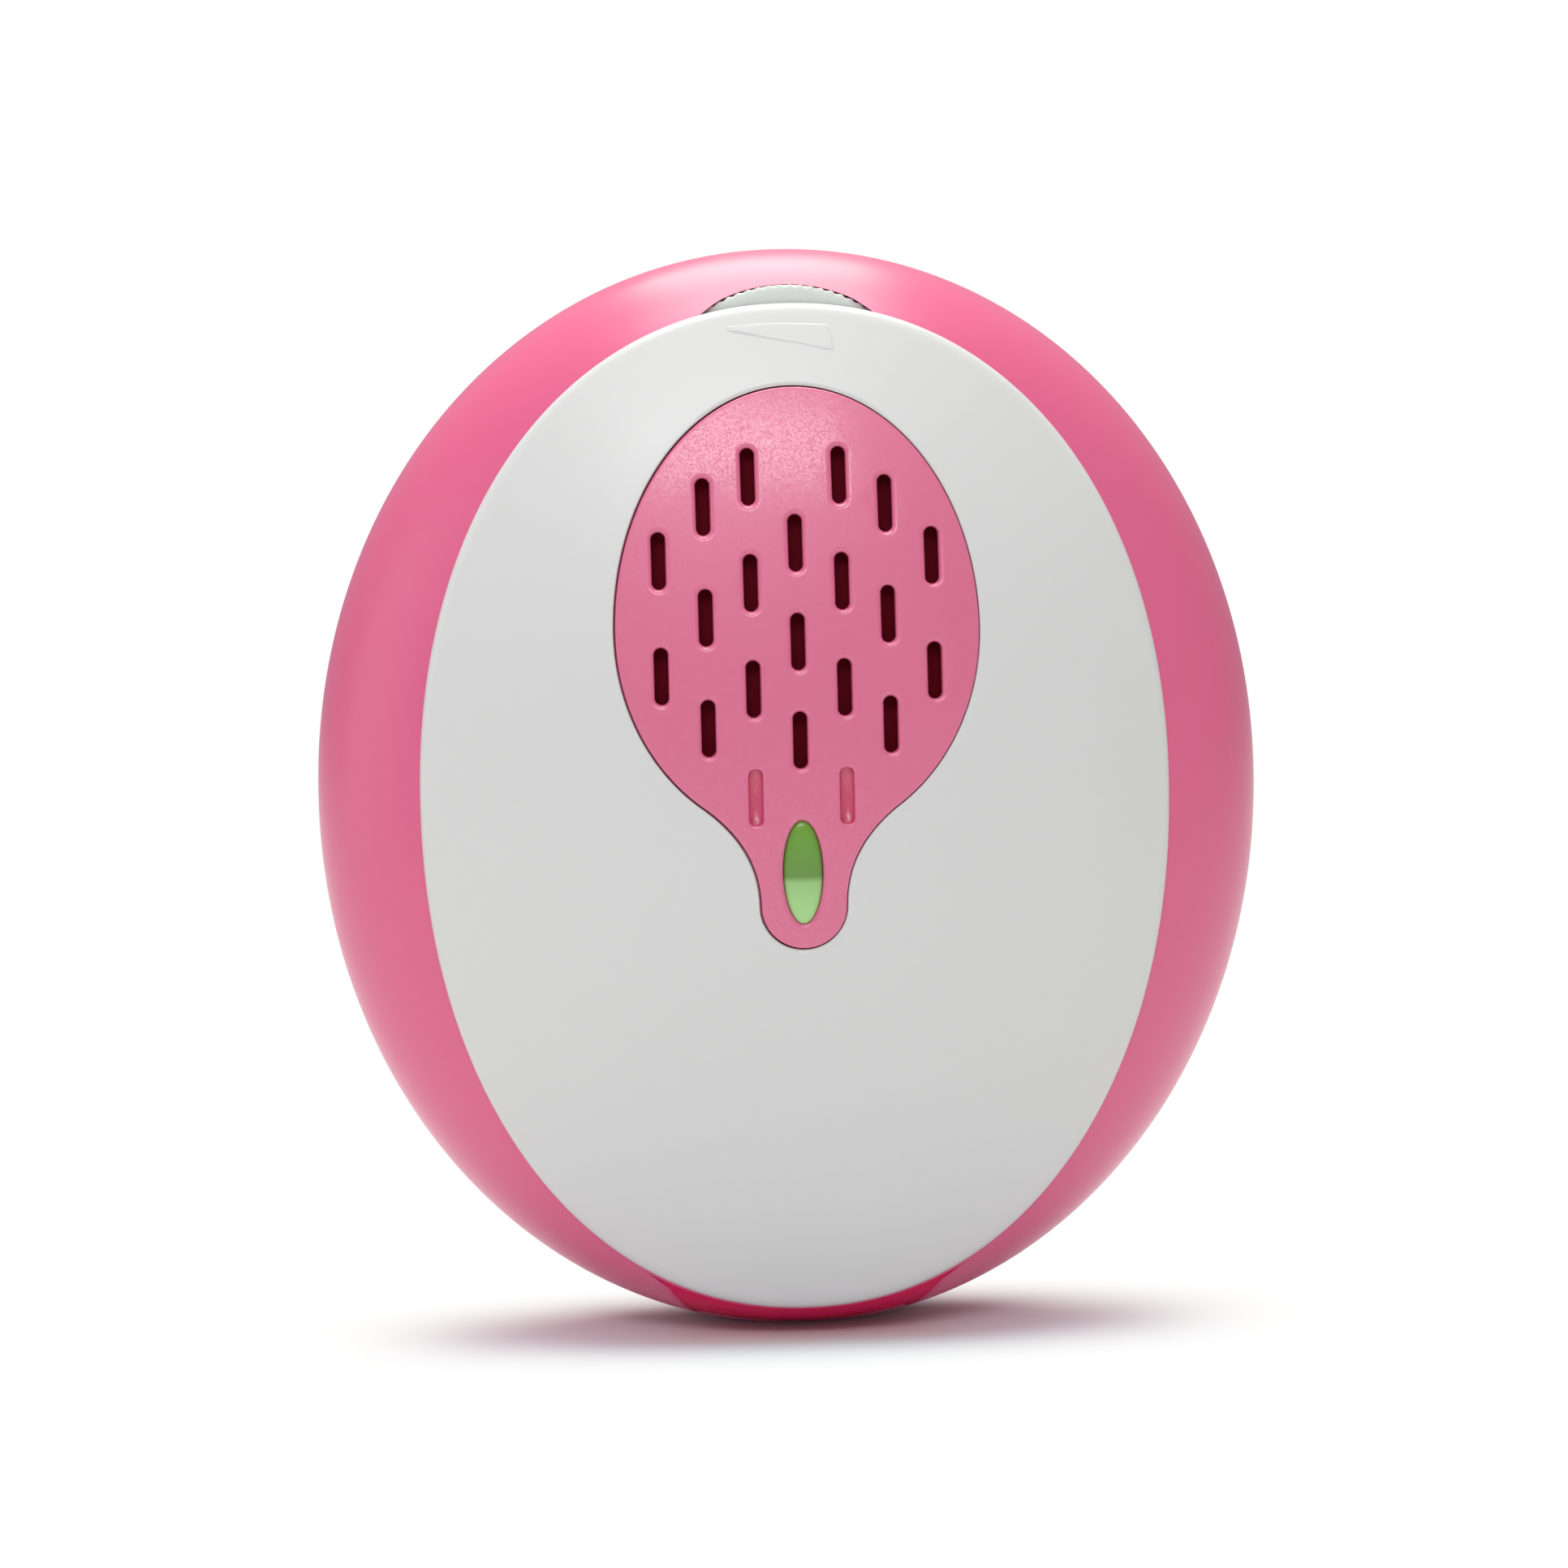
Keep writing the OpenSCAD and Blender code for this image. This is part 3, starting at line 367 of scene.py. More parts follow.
def srgb(r, g, b):
    """Colour as seen on a screen, 0 to 255, made linear."""
    c = np.array([r, g, b]) / 255
    c = np.where(c < 0.04045, c / 12.92, ((c + 0.055) / 1.055) ** 2.4)
    return (*c.tolist(), 1.0)


class Nodes:
    """Shorthand for making and wiring nodes in one tree. A value may be a number or a socket."""

    def __init__(self, tree):
        self.tree = tree

    def add(self, kind, settings=None, **values):
        """A node with its settings, and its inputs by name, with _ for a space, or as i and a number."""
        node = self.tree.nodes.new(kind)
        for key, value in (settings or {}).items():
            setattr(node, key, value)
        for key, value in values.items():
            numbered = key[0] == "i" and key[1:].isdigit()
            self.put(node.inputs[int(key[1:]) if numbered else key.replace("_", " ")], value)
        return node

    def put(self, socket, value):
        """Links a socket, or sets a plain value."""
        if isinstance(value, bpy.types.NodeSocket):
            self.tree.links.new(value, socket)
        else:
            socket.default_value = value

    def sum(self, operation, a, b=0.5, clamp=False):
        """One step of arithmetic."""
        return self.add("ShaderNodeMath", {"operation": operation, "use_clamp": clamp}, i0=a, i1=b).outputs[0]

    def noise(self, vector, scale, detail=3.0, rough=0.5):
        return self.add("ShaderNodeTexNoise", Vector=vector, Scale=scale, Detail=detail, Roughness=rough).outputs[0]

    def span(self, value, low, high, to_low=0.0, to_high=1.0, smooth=False):
        """Maps low to high onto to_low to to_high, held at the ends."""
        kind = "SMOOTHSTEP" if smooth else "LINEAR"
        return self.add("ShaderNodeMapRange", {"interpolation_type": kind}, i0=value, i1=low, i2=high,
                        i3=to_low, i4=to_high).outputs[0]

    def mix(self, factor, a, b, blend="MIX"):
        node = self.tree.nodes.new("ShaderNodeMix")
        node.data_type, node.blend_type = "RGBA", blend
        for k, v in ((0, factor), (6, a), (7, b)):
            self.put(node.inputs[k], v)
        return node.outputs[2]


def effect_group(name, inputs, outputs):
    """An empty node group with named sockets; returns its nodes, its inputs and its output node."""
    tree = bpy.data.node_groups.new(name, "ShaderNodeTree")
    for key, kind, value in inputs:
        s = tree.interface.new_socket(name=key, in_out="INPUT", socket_type="NodeSocket" + kind)
        if value is not None:
            s.default_value = value
    for key, kind in outputs:
        tree.interface.new_socket(name=key, in_out="OUTPUT", socket_type="NodeSocket" + kind)
    n = Nodes(tree)
    return n, n.add("NodeGroupInput").outputs, n.add("NodeGroupOutput")


def moulded_surface():
    """Moulded plastic: cloudy colour, fine texture from the tool, handling haze and hair scratches."""
    n, i, out = effect_group("moulded_surface",
                             [("Place", "Vector", None), ("Colour", "Color", (1, 1, 1, 1)), ("Cloud", "Float", 0.05),
                              ("Grain", "Float", 3000.0), ("Speckle", "Float", 0.0), ("Gloss", "Float", 0.3),
                              ("Haze", "Float", 0.08)],
                             [("Colour", "Color"), ("Roughness", "Float"), ("Height", "Float")])
    cloud = n.sum("SUBTRACT", n.noise(i["Place"], 45.0, 4.0), 0.5)
    grain = n.noise(i["Place"], i["Grain"], 2.0, 0.6)
    shade = n.sum("MULTIPLY_ADD", cloud, i["Cloud"])
    shade.node.inputs[2].default_value = 1.0
    fleck = n.sum("MULTIPLY", n.sum("SUBTRACT", grain, 0.5), i["Speckle"])
    shade = n.sum("ADD", shade, fleck)
    value = n.add("ShaderNodeHueSaturation", Color=i["Colour"], Value=shade).outputs[0]
    stretch = n.add("ShaderNodeMapping", Vector=i["Place"], Rotation=(0.3, 0.6, 0.9), Scale=(1.0, 1.0, 0.06)).outputs[0]
    hair = n.span(n.noise(stretch, 1400.0, 2.0), 0.62, 0.8, 0.0, 0.5, True)
    haze = n.span(n.noise(i["Place"], 90.0, 6.0, 0.6), 0.3, 0.75, smooth=True)
    rough = n.sum("ADD", i["Gloss"], n.sum("MULTIPLY", n.sum("ADD", haze, hair), i["Haze"]), clamp=True)
    for key, value_out in (("Colour", value), ("Roughness", rough), ("Height", grain)):
        n.put(out.inputs[key], value_out)
    return n.tree


def worked_metal():
    """Plated or rolled metal: streaks along X and cloudy tarnish."""
    n, i, out = effect_group("worked_metal",
                             [("Place", "Vector", None), ("Colour", "Color", (1, 1, 1, 1)),
                              ("Tarnish", "Float", 0.2), ("Gloss", "Float", 0.3)],
                             [("Colour", "Color"), ("Roughness", "Float"), ("Height", "Float")])
    streak = n.noise(n.add("ShaderNodeMapping", Vector=i["Place"], Scale=(0.05, 1, 1)).outputs[0], 5000.0, 3.0)
    cloud = n.noise(i["Place"], 260.0, 4.0)
    dull = n.mix(1.0, i["Colour"], (0.62, 0.58, 0.52, 1), "MULTIPLY")
    n.put(out.inputs["Colour"], n.mix(n.sum("MULTIPLY", cloud, i["Tarnish"]), i["Colour"], dull))
    n.put(out.inputs["Roughness"], n.sum("ADD", i["Gloss"], n.sum("MULTIPLY", streak, 0.2), clamp=True))
    n.put(out.inputs["Height"], streak)
    return n.tree


MOULDED, METAL = moulded_surface(), worked_metal()


def material(name, colour, group=MOULDED, metallic=0.0, coat=0.0, shine=0.5, grain_depth=0.004, extra=None, **values):
    """A finish: the group's colour, roughness and grain height on a Principled shader. A coat lies
    on the grain's crests: none below a height of 0.35, and twice its weight from 0.62 up."""
    m = bpy.data.materials.new(name)
    m.use_nodes = True
    m.node_tree.nodes.clear()
    n = Nodes(m.node_tree)
    place = n.add("ShaderNodeTexCoord").outputs["Object"]
    g = n.add("ShaderNodeGroup", {"node_tree": group}, Place=place, Colour=colour, **values)
    tint, height = g.outputs["Colour"], g.outputs["Height"]
    if extra:
        tint = extra(n, place, tint)
    bump = n.add("ShaderNodeBump", Height=height, Strength=1.0, Distance=grain_depth * MM)
    film = n.span(height, 0.35, 0.62, 0.0, 2 * coat) if coat else 0.0
    shader = n.add("ShaderNodeBsdfPrincipled", Base_Color=tint, Roughness=g.outputs["Roughness"], Metallic=metallic,
                   Coat_Weight=film, Coat_Roughness=0.16, Specular_IOR_Level=shine, Normal=bump.outputs[0])
    n.add("ShaderNodeOutputMaterial", Surface=shader.outputs[0])
    m.diffuse_color = colour
    return m


def up_place(n, place):
    """Height above the body's middle in millimetres."""
    z = n.add("ShaderNodeSeparateXYZ", Vector=place).outputs[2]
    return n.sum("SUBTRACT", n.sum("MULTIPLY", z, 1 / MM), MID_Z)


def lens_painted_light(n, place, tint):
    """The lens is painted darker above its waist and lighter below it, and each half grades lighter towards its own
    end: painted shade, painted light and painted highlights.
    """
    z = up_place(n, place)
    low = n.span(z, LENS_Z - 1.0, LENS_Z - 0.2, smooth=True)
    fade = n.span(z, LENS_Z - LENS_H / 2, LENS_Z + LENS_H / 2)
    # painted light below the waist, dimming upwards, and painted shade above it, lifting to a painted highlight at the
    # top
    lit = n.mix(fade, srgb(176, 226, 150), srgb(118, 160, 84))
    dark = n.mix(fade, srgb(90, 124, 66), srgb(118, 172, 66))
    return n.mix(1.0, n.mix(low, lit, dark), tint, "MULTIPLY")


def blind_floor_painted_shade(n, place, tint):
    """The floors of the grille's two blind dents are painted a deeper pink: painted shade in the dents."""
    x = n.add("ShaderNodeSeparateXYZ", Vector=place).outputs[0]
    aside = n.sum("ABSOLUTE", n.sum("SUBTRACT", n.sum("ABSOLUTE", n.sum("MULTIPLY", x, 1 / MM)), SLOT_PITCH))
    along = n.sum("ABSOLUTE", n.sum("SUBTRACT", up_place(n, place), BLIND_Z))
    within = n.sum("MULTIPLY", n.span(aside, 0.62, 0.5), n.span(along, 2.42, 2.2))
    # painted shade: the dents' floors mixed towards a deeper pink
    return n.mix(n.sum("MULTIPLY", within, 0.85), tint, srgb(212, 60, 108))


PINK = material("pink_shell", srgb(226, 98, 144), shine=0.6, Gloss=0.3, Cloud=0.04, Grain=2600.0, Haze=0.05,
                grain_depth=0.002)
WHITE = material("white_cover", srgb(221, 221, 223), Gloss=0.3, Cloud=0.025, Grain=3200.0, Haze=0.06, grain_depth=0.002)
# the grille's two blind dents carry painted shade on their floors
GRILLE = material("grille_pink", srgb(223, 106, 147), Gloss=0.38, Cloud=0.04, Grain=5200.0, Speckle=0.16, Haze=0.06,
                  coat=0.45, shine=0.8, grain_depth=0.012, extra=blind_floor_painted_shade)
# the lens's colour carries painted shade above its waist, and painted light and highlights below it and at its ends
LENS = material("lens_green", (1, 1, 1, 1), Gloss=0.16, Cloud=0.06, Grain=1500.0, Haze=0.05, grain_depth=0.001,
                extra=lens_painted_light)
# the socket panel's deep crimson is painted shade: it stands in for the shade in the bay under the cover's lower edge
PANEL_SHADE = material("crimson_panel", srgb(232, 8, 92), Gloss=0.3, Cloud=0.1, Grain=2400.0, Haze=0.1, shine=0.1,
                   grain_depth=0.002)
WHEEL = material("wheel_grey", srgb(222, 227, 224), Gloss=0.4, Cloud=0.04, Grain=3800.0, Haze=0.08, grain_depth=0.004)
PROBE = material("probe_white", srgb(232, 230, 226), Gloss=0.38, Cloud=0.03, Grain=2800.0, Haze=0.1, grain_depth=0.003)
FINISH = {m.name.split(".")[0]: m for m in (
    PINK, WHITE, GRILLE, LENS, PANEL_SHADE, WHEEL, PROBE,
    material("seal_rubber", srgb(60, 60, 64), Gloss=0.6, Cloud=0.2, Grain=4000.0, grain_depth=0.01),
    material("foam", srgb(52, 52, 55), Gloss=0.9, Cloud=0.3, Grain=1600.0, Speckle=0.8, grain_depth=0.15),
    material("screw_steel", (0.6, 0.6, 0.62, 1), METAL, 1.0, Gloss=0.24, Tarnish=0.3),
    material("contact_metal", (0.72, 0.7, 0.66, 1), METAL, 1.0, Gloss=0.18, Tarnish=0.4),
    material("black_plastic", srgb(42, 42, 45), Gloss=0.45, Cloud=0.15, grain_depth=0.006),
    material("crystal", (0.62, 0.5, 0.3, 1), METAL, 0.6, Gloss=0.4, Tarnish=0.7),
    material("absorber", srgb(122, 112, 102), Gloss=0.85, Cloud=0.5, Grain=1200.0, Speckle=0.7, grain_depth=0.1),
    material("cable_jacket", srgb(90, 90, 94), Gloss=0.5, Cloud=0.15, grain_depth=0.01),
    material("lead_red", srgb(188, 44, 44), Gloss=0.42, Cloud=0.15, grain_depth=0.005),
    # dark maroon film: partly its own colour, partly painted shade for the shade and pink-tinted light inside the
    # grille's slots
    material("speaker_film", srgb(100, 9, 28), Gloss=0.6, Cloud=0.2, Grain=900.0, shine=0.05, grain_depth=0.02),
    material("magnet", (0.15, 0.15, 0.16, 1), METAL, 0.7, Gloss=0.5, Tarnish=0.6),
    material("circuit_board", srgb(34, 110, 62), Gloss=0.3, Cloud=0.25, Grain=900.0, Speckle=0.2, coat=0.4,
             grain_depth=0.01),
    material("led_epoxy", srgb(150, 205, 150), Gloss=0.12, Cloud=0.1, Grain=900.0, coat=0.5, grain_depth=0.001),
    material("cell_sleeve", (0.55, 0.4, 0.12, 1), METAL, 0.9, Gloss=0.3, Tarnish=0.25),
)}

# ---------- front bezel ----------


def turn_at_x(s, x_goal, grow, inset):
    """Angle in the lower right quarter where the bezel's ring at s stands at a given x, by halving."""
    low, high = np.full(np.broadcast(s, x_goal).shape, -np.pi / 2), np.zeros(np.broadcast(s, x_goal).shape)
    for _ in range(40):
        t = (low + high) / 2
        over = bezel_xz(t, s, inset, grow)[0] > x_goal
        high, low = np.where(over, t, high), np.where(over, low, t)
    return (low + high) / 2


def wheel_room(s):
    """Radius of the wheel's room; in front of the wheel a lip closes it by up to 0.2 mm."""
    return WHEEL_ROOM - 0.2 * np.clip((WHEEL_Y - 0.05 - bezel_y(s)) / 0.9, 0, 1)


def wheel_cut(t, first):
    """Arc angle at which the bezel's outer face leaves the wheel's round room, by halving."""
    low, high = np.full_like(t, first), np.full_like(t, np.pi / 2)
    for _ in range(40):
        s = (low + high) / 2
        x, z = bezel_xz(t, s)
        within = np.hypot(x, z - WHEEL_Z) < wheel_room(s)
        low, high = np.where(within, s, low), np.where(within, high, s)
    x, z = bezel_xz(t, np.full_like(t, first))
    return np.where(np.hypot(x, z - WHEEL_Z) < wheel_room(first), (low + high) / 2, first)


def arc_at(y, rim=RIM_Y):
    """Arc angle at which the bezel's ring stands in plane y."""
    return np.arccos(np.clip((SEAM_Y - y) / (SEAM_Y - rim) * math.cos(ARC_START), -1, 1))


BAY_Y = BAY_FRONT + (BAY_BACK - BAY_FRONT) * np.linspace(0, 1, BAY_STEPS + 1) ** 1.7


def bay_half(y):
    """Half width of the bay, less towards the back as the square root of the share of its depth."""
    return BAY_X + 0.05 - BAY_TAPER * np.sqrt(np.clip((y - BAY_FRONT) / (BAY_BACK - BAY_FRONT), 0, 1))


def bezel_columns():
    """Angles round the right half: even in x under the bay, finer at the wheel's notch."""
    ref = math.radians(60)
    bay = turn_at_x(ref, np.linspace(0, BAY_X, 22), COVER_GAP, 0.0)
    trial = np.linspace(1.0, np.pi / 2, 4000)
    edge = trial[np.argmax(wheel_cut(trial, ARC_START) > ARC_START + 1e-6)]
    side = np.linspace(bay[-1], edge, 130)[1:]
    notch = np.linspace(edge, np.pi / 2, 16)
    right = np.concatenate([bay, side, notch])
    in_notch = np.arange(len(right)) >= len(bay) + len(side)
    return right, in_notch, len(bay) - 1


def bezel():
    """Cross-sections of the bezel, one per column, closed round: outer arc from the cover's edge
    to the seam, wall, inner arc, ledge. The bay is left open and the wheel's room is cut away."""
    right, in_notch, bay_end = bezel_columns()
    half = len(right)
    bay_s = arc_at(BAY_Y)
    outer_s = np.concatenate([np.linspace(ARC_START, bay_s[0], BAY_LEAD + 1), bay_s[1:],
                              np.linspace(bay_s[-1], ARC_END, 9)[1:]])
    inner_y = np.concatenate([np.linspace(0.9, BAY_BACK, BAY_LEAD + 1),
                              np.linspace(BAY_BACK, ROOM_Y, BAY_STEPS + 1)[1:], [-6.4, LEDGE_Y]])
    reach = (SEAM_Y - inner_y) / (SEAM_Y - LEDGE_Y) * math.cos(ARC_START)
    inner_s = np.arccos(np.clip(reach, -1, 1))

    def half_grid(s_rows, grow, inset, y0):
        """Rows of the right half, drawn in to the bay's tapered ends under the middle."""
        ref_x = bezel_xz(right, math.radians(60))[0]
        s = np.repeat(s_rows[:, None], half, 1)
        if y0 == RIM_Y:
            s0 = wheel_cut(right, ARC_START)
            s = s0 + (s - ARC_START) * (math.pi / 2 - s0) / (math.pi / 2 - ARC_START)
        keep = np.clip((BAY_REACH - ref_x) / (BAY_REACH - BAY_X), 0, 1) * (right < 0)
        taper = 1 + keep * (bay_half(bezel_y(s_rows, y0)) / BAY_X - 1)[:, None]
        t = right + keep * (turn_at_x(s, ref_x * taper, grow, inset) - right)
        x, z = bezel_xz(t, s, inset, grow)
        return np.stack([x, bezel_y(s, y0), z], 2)

    outer = half_grid(outer_s, COVER_GAP, 0.0, RIM_Y)
    # the inner arc runs from the cover's outline to the body's outline a wall's depth in
    inner = half_grid(inner_s, 0.0, WALL, LEDGE_Y)

    def flat_row(outline, grow, y):
        x, z = outline(right, grow)
        return np.stack([x, np.full(half, y), z], 1)[None]

    seam = [flat_row(body_egg, 0.12, SEAM_Y - 0.02), flat_row(body_egg, WALL, SEAM_Y), flat_row(body_egg, WALL, 0.95)]
    ledge = [flat_row(cover_egg, grow, y)
             for grow, y in ((-1.6, LEDGE_Y), (-1.6, SHELF_Y), (COVER_GAP, SHELF_Y))]
    grid = np.concatenate([outer, *seam, inner, *ledge])
    first_in = len(outer) + len(seam)
    # behind its lip the notch spreads to the wheel's room and runs straight back
    cut = grid[0]
    spread = WHEEL_ROOM / np.hypot(cut[:, 0], cut[:, 2] - WHEEL_Z)
    room = np.stack([cut[:, 0] * spread, np.full(half, ROOM_Y), WHEEL_Z + (cut[:, 2] - WHEEL_Z) * spread], 1)
    for r in range(first_in, len(grid)):
        low = in_notch & (grid[r, :, 1] < ROOM_Y + 0.01)
        grid[r, low] = room[low]
    grid[-1, in_notch, 1] = np.maximum(cut[in_notch, 1] + 0.05, WHEEL_Y - 0.05)
    left = grid[:, -2:0:-1] * [-1, 1, 1]
    grid = np.concatenate([grid, left], 1)
    rows, cols = grid.shape[:2]
    keep = np.ones((rows, cols), bool)
    span = np.r_[0:bay_end, cols - bay_end:cols]
    a, b = BAY_LEAD, BAY_LEAD + BAY_STEPS
    c, d = first_in + a, first_in + b
    keep[a:b, span] = False
    keep[c:d, span] = False
    # the bay's side walls join its rim in the outer face to its rim in the inner face
    index = np.arange(rows * cols).reshape(rows, cols)
    around = np.r_[cols - bay_end:cols, 0:bay_end + 1]
    first, last = around[0], around[-1]
    rim = [index[a, around], index[a:b + 1, last], index[b, around[::-1]], index[a:b + 1, first][::-1]]
    back = [index[d, around], index[c:d + 1, last][::-1], index[c, around[::-1]], index[c:d + 1, first]]
    rim, back = (np.concatenate([part[:-1] for part in loop]) for loop in (rim, back))
    points = grid.reshape(-1, 3)
    lip = points[rim]
    deep = np.clip((lip[:, 1] - BAY_FRONT) / 2.5, 0.06, 1)[:, None]
    middle = lip + (points[back] - lip) * [1, 0, 1] * deep * 0.4
    points = np.concatenate([points, middle])
    m = np.arange(len(rim)) + rows * cols
    walls = np.concatenate([np.stack([rim, np.roll(rim, -1), np.roll(m, -1), m], 1),
                            np.stack([m, np.roll(m, -1), np.roll(back, -1), back], 1)])
    quads = wrapped_faces(rows, cols).reshape(rows, cols, 4)
    return points, np.concatenate([quads[keep], walls[:, ::-1]]), NO_TRIS


def jack_panel():
    """Curved panel of the bay, a little under the bezel's face, with two round plug ways. Its net is
    laid in X and Y, with the heights of the bezel's ring taken as planes, which then change places."""
    y = np.concatenate([BAY_Y[:1] + 0.03, BAY_Y[1:-1], BAY_Y[-1:] - 0.03])
    half = bay_half(y) - 0.03
    across = np.linspace(-1, 1, 41)[1:-1]
    outline = np.concatenate([
        np.stack([across * half[0], np.full(39, y[0])], 1), np.stack([half, y], 1),
        np.stack([-across * half[-1], np.full(39, y[-1])], 1), np.stack([-half[::-1], y[::-1]], 1)])

    def face(sink):
        def height(x, v):
            s = arc_at(v)
            grow = COVER_GAP - 0.03 - 0.15 * sink
            t = turn_at_x(s, np.abs(x), grow, PANEL_SINK + sink)
            return bezel_xz(t, s, PANEL_SINK + sink, grow)[1]
        return height

    def rings(loops, sinks):
        return [(p, face(k)(p[:, 0], p[:, 1])) for p, k in zip(loops, sinks)]

    ways = [rings([oval(x, PLUG_Y, r, r) for r in (PLUG_R + 0.12, PLUG_R + 0.04, PLUG_R, PLUG_R)],
                  (0, 0.03, 0.12, PANEL_T)) for x in (-PLUG_X, PLUG_X)]
    net = [pierced(rings([outline] * 2, (0, PANEL_T)), ways, [], face(0), face(PANEL_T), 0.7)]
    # each socket is closed by a round bung that follows the panel
    for x in (-PLUG_X, PLUG_X):
        sizes = (2.18, 2.18, 2.12, 2.0, 1.6, 1.1, 0.6, 0.1)
        net.append(ring_loft(rings([oval(x, PLUG_Y, r, r) for r in sizes], (1.0, 0.12, 0.03, 0, 0, 0, 0, 0))[::-1]))
    points, quads, tris = join(*net)
    return points[:, [0, 2, 1]], quads[:, ::-1], tris[:, ::-1]


add_piece("bezel_ring", "casing", bezel(), PINK, ("front_bezel",), sharp=40, bevel=0.08)
# the socket panel is coloured as painted shade of the bay
add_piece("socket_panel", "casing", jack_panel(), PANEL_SHADE, ("jack_panel",), sharp=40)

# ---------- front cover, grille and lens ----------

HUB = np.array([0.0, COVER_LIFT])


def cover():
    """Cover laid out on rays from its middle: crown from the grille's opening out to 0.962 of its
    outline, a rolled edge on a cubic curve, the side wall, then the inner face a wall's depth behind."""
    hole = balloon(0.12, 110)
    start = cover_share(hole[:, 0], hole[:, 1])
    ray = (hole - HUB) / start[:, None]
    ray = ray * (1 + 0.1 / np.hypot(*ray.T))[:, None]
    start = np.hypot(*(hole - HUB).T) / np.hypot(*ray.T)
    rows = []

    def at(share, y):
        p = HUB + ray * share[:, None]
        rows.append(np.column_stack([p[:, 0], np.broadcast_to(y, len(p)), p[:, 1]]))

    mark = start + 0.0035
    at(start, crown(*hole.T) + 0.12)
    at(mark, crown(*(HUB + ray * mark[:, None]).T))
    roll = 0.962
    for u in np.linspace(0, 1, 30)[1:]:
        share = mark + (roll - mark) * u
        at(share, EDGE_Y - CROWN * (1 - share ** CROWN_POWER))
    p = np.array([[roll, EDGE_Y - CROWN * (1 - roll ** CROWN_POWER)], [0.985, -10.78], [1.0, -10.55], [1.0, -9.75]])
    for u in np.linspace(0, 1, 12)[1:]:
        w = np.array([(1 - u) ** 3, 3 * u * (1 - u) ** 2, 3 * u * u * (1 - u), u ** 3])
        share, y = w @ p
        at(np.full(len(ray), share), y)
    outline = HUB + ray
    over_wheel = np.hypot(outline[:, 0], outline[:, 1] - WHEEL_Z) < WHEEL_ROOM
    seat = np.where(over_wheel, WHEEL_Y - 0.3, SEAT_Y)
    at(np.ones(len(ray)), seat)
    inner = 1 - COVER_WALL / np.hypot(*(outline - HUB).T)
    at(inner, seat)
    for u in np.linspace(0, 1, 16):
        share = (inner - 0.005) + (start - inner + 0.005) * u
        at(share, np.minimum(EDGE_Y - CROWN * (1 - share ** CROWN_POWER) + COVER_WALL, seat))
    return np.concatenate(rows), wrapped_faces(len(rows), len(ray)), NO_TRIS


def crown_rings(loops, sinks):
    """Rings laid on the crown, each sunk below it."""
    return [(p, crown(*p.T) + k) for p, k in zip(loops, sinks)]


def fillet(radius, steps, guard):
    """Widening and depth of each ring of a quarter-round edge. A guard ring lies on the face round
    it, so that the edge's shading stays narrow."""
    a = np.linspace(0, np.pi / 2, steps + 1)
    return np.r_[radius + guard, radius * (1 - np.sin(a))], np.r_[0, radius * (1 - np.cos(a))]


def slot_places():
    """Middles of the through slots, column by column."""
    return [(side * SLOT_PITCH, SLOT_TOP[abs(side)] - row * SLOT_STEP[abs(side)])
            for side in range(-3, 4) for row in range(SLOT_COUNT[abs(side)])]


def grille():
    """The inlaid plate: crowned face, rounded rim, slots with quarter-round edges, two blind dents, lens hole."""
    outer = crown_rings([balloon(g, 90) + [0.05, 0] for g in (-0.26, -0.14, -0.04, 0, 0)], (0, 0, 0.03, 0.14, 1.0))
    wide, deep = fillet(0.42, 5, 0.12)
    holes = [crown_rings([slot_outline(x, z, g) for g in (*wide, 0.0)], (*deep, 1.0)) for x, z in slot_places()]
    holes.append(crown_rings([oval(0, LENS_Z, LENS_W / 2 + g + 0.03, LENS_H / 2 + g + 0.03) for g in (*wide, 0.0)],
                             (*deep, 1.0)))
    wide, deep = fillet(0.22, 4, 0.12)
    blinds = [crown_rings([slot_outline(s * SLOT_PITCH, BLIND_Z, g) for g in (*wide, -0.02, -0.12)],
                          (*deep, 0.75, 0.85)) for s in (-1, 1)]
    return pierced(outer, holes, blinds, crown, lambda x, z: crown(x, z) + 1.0, 1.0)


def grille_bed():
    """The plate's bed behind it, with its slots a little wider."""
    outer = crown_rings([balloon(0.1, 40)] * 2, (1.05, 2.0))
    holes = [crown_rings([slot_outline(x, z, 0.2, around=16)] * 2, (1.05, 2.0)) for x, z in slot_places()]
    holes.append(crown_rings([oval(0, LENS_Z, LENS_W / 2 + 0.2, LENS_H / 2 + 0.2, 32)] * 2, (1.05, 2.0)))
    return pierced(outer, holes, [], lambda x, z: crown(x, z) + 1.05, lambda x, z: crown(x, z) + 2.0, 2.5)


def dust_film():
    """Thin film behind the grille's bed, with a faint ripple: a product of two sines. Its dark maroon is partly the
    film's own colour and partly painted shade for the inside of the slots.
    """
    def front(x, z):
        return crown(x, z) + 2.1 + 0.04 * np.sin(1.1 * x + 0.6 * z) * np.sin(0.7 * z)
    loop = balloon(-0.4, 40)
    outer = [(loop, front(*loop.T)), (loop, front(*loop.T) + 0.1)]
    return pierced(outer, [], [], front, lambda x, z: front(x, z) + 0.1, 1.6)


def lens():
    """Oval lens: a low dome that falls off with the share out from its middle, gently at first."""
    face = EDGE_Y - CROWN + 0.12
    shares = np.concatenate([[0.04], np.linspace(0.15, 0.85, 8), [0.9, 0.94, 0.97, 0.99, 1.0]])
    rings = [(oval(0, LENS_Z, LENS_W / 2 * k, LENS_H / 2 * k, 64), face + 0.12 * k ** 2 + 0.24 * k ** 12)
             for k in shares]
    return ring_loft(rings + [(rings[-1][0], face + 3)])


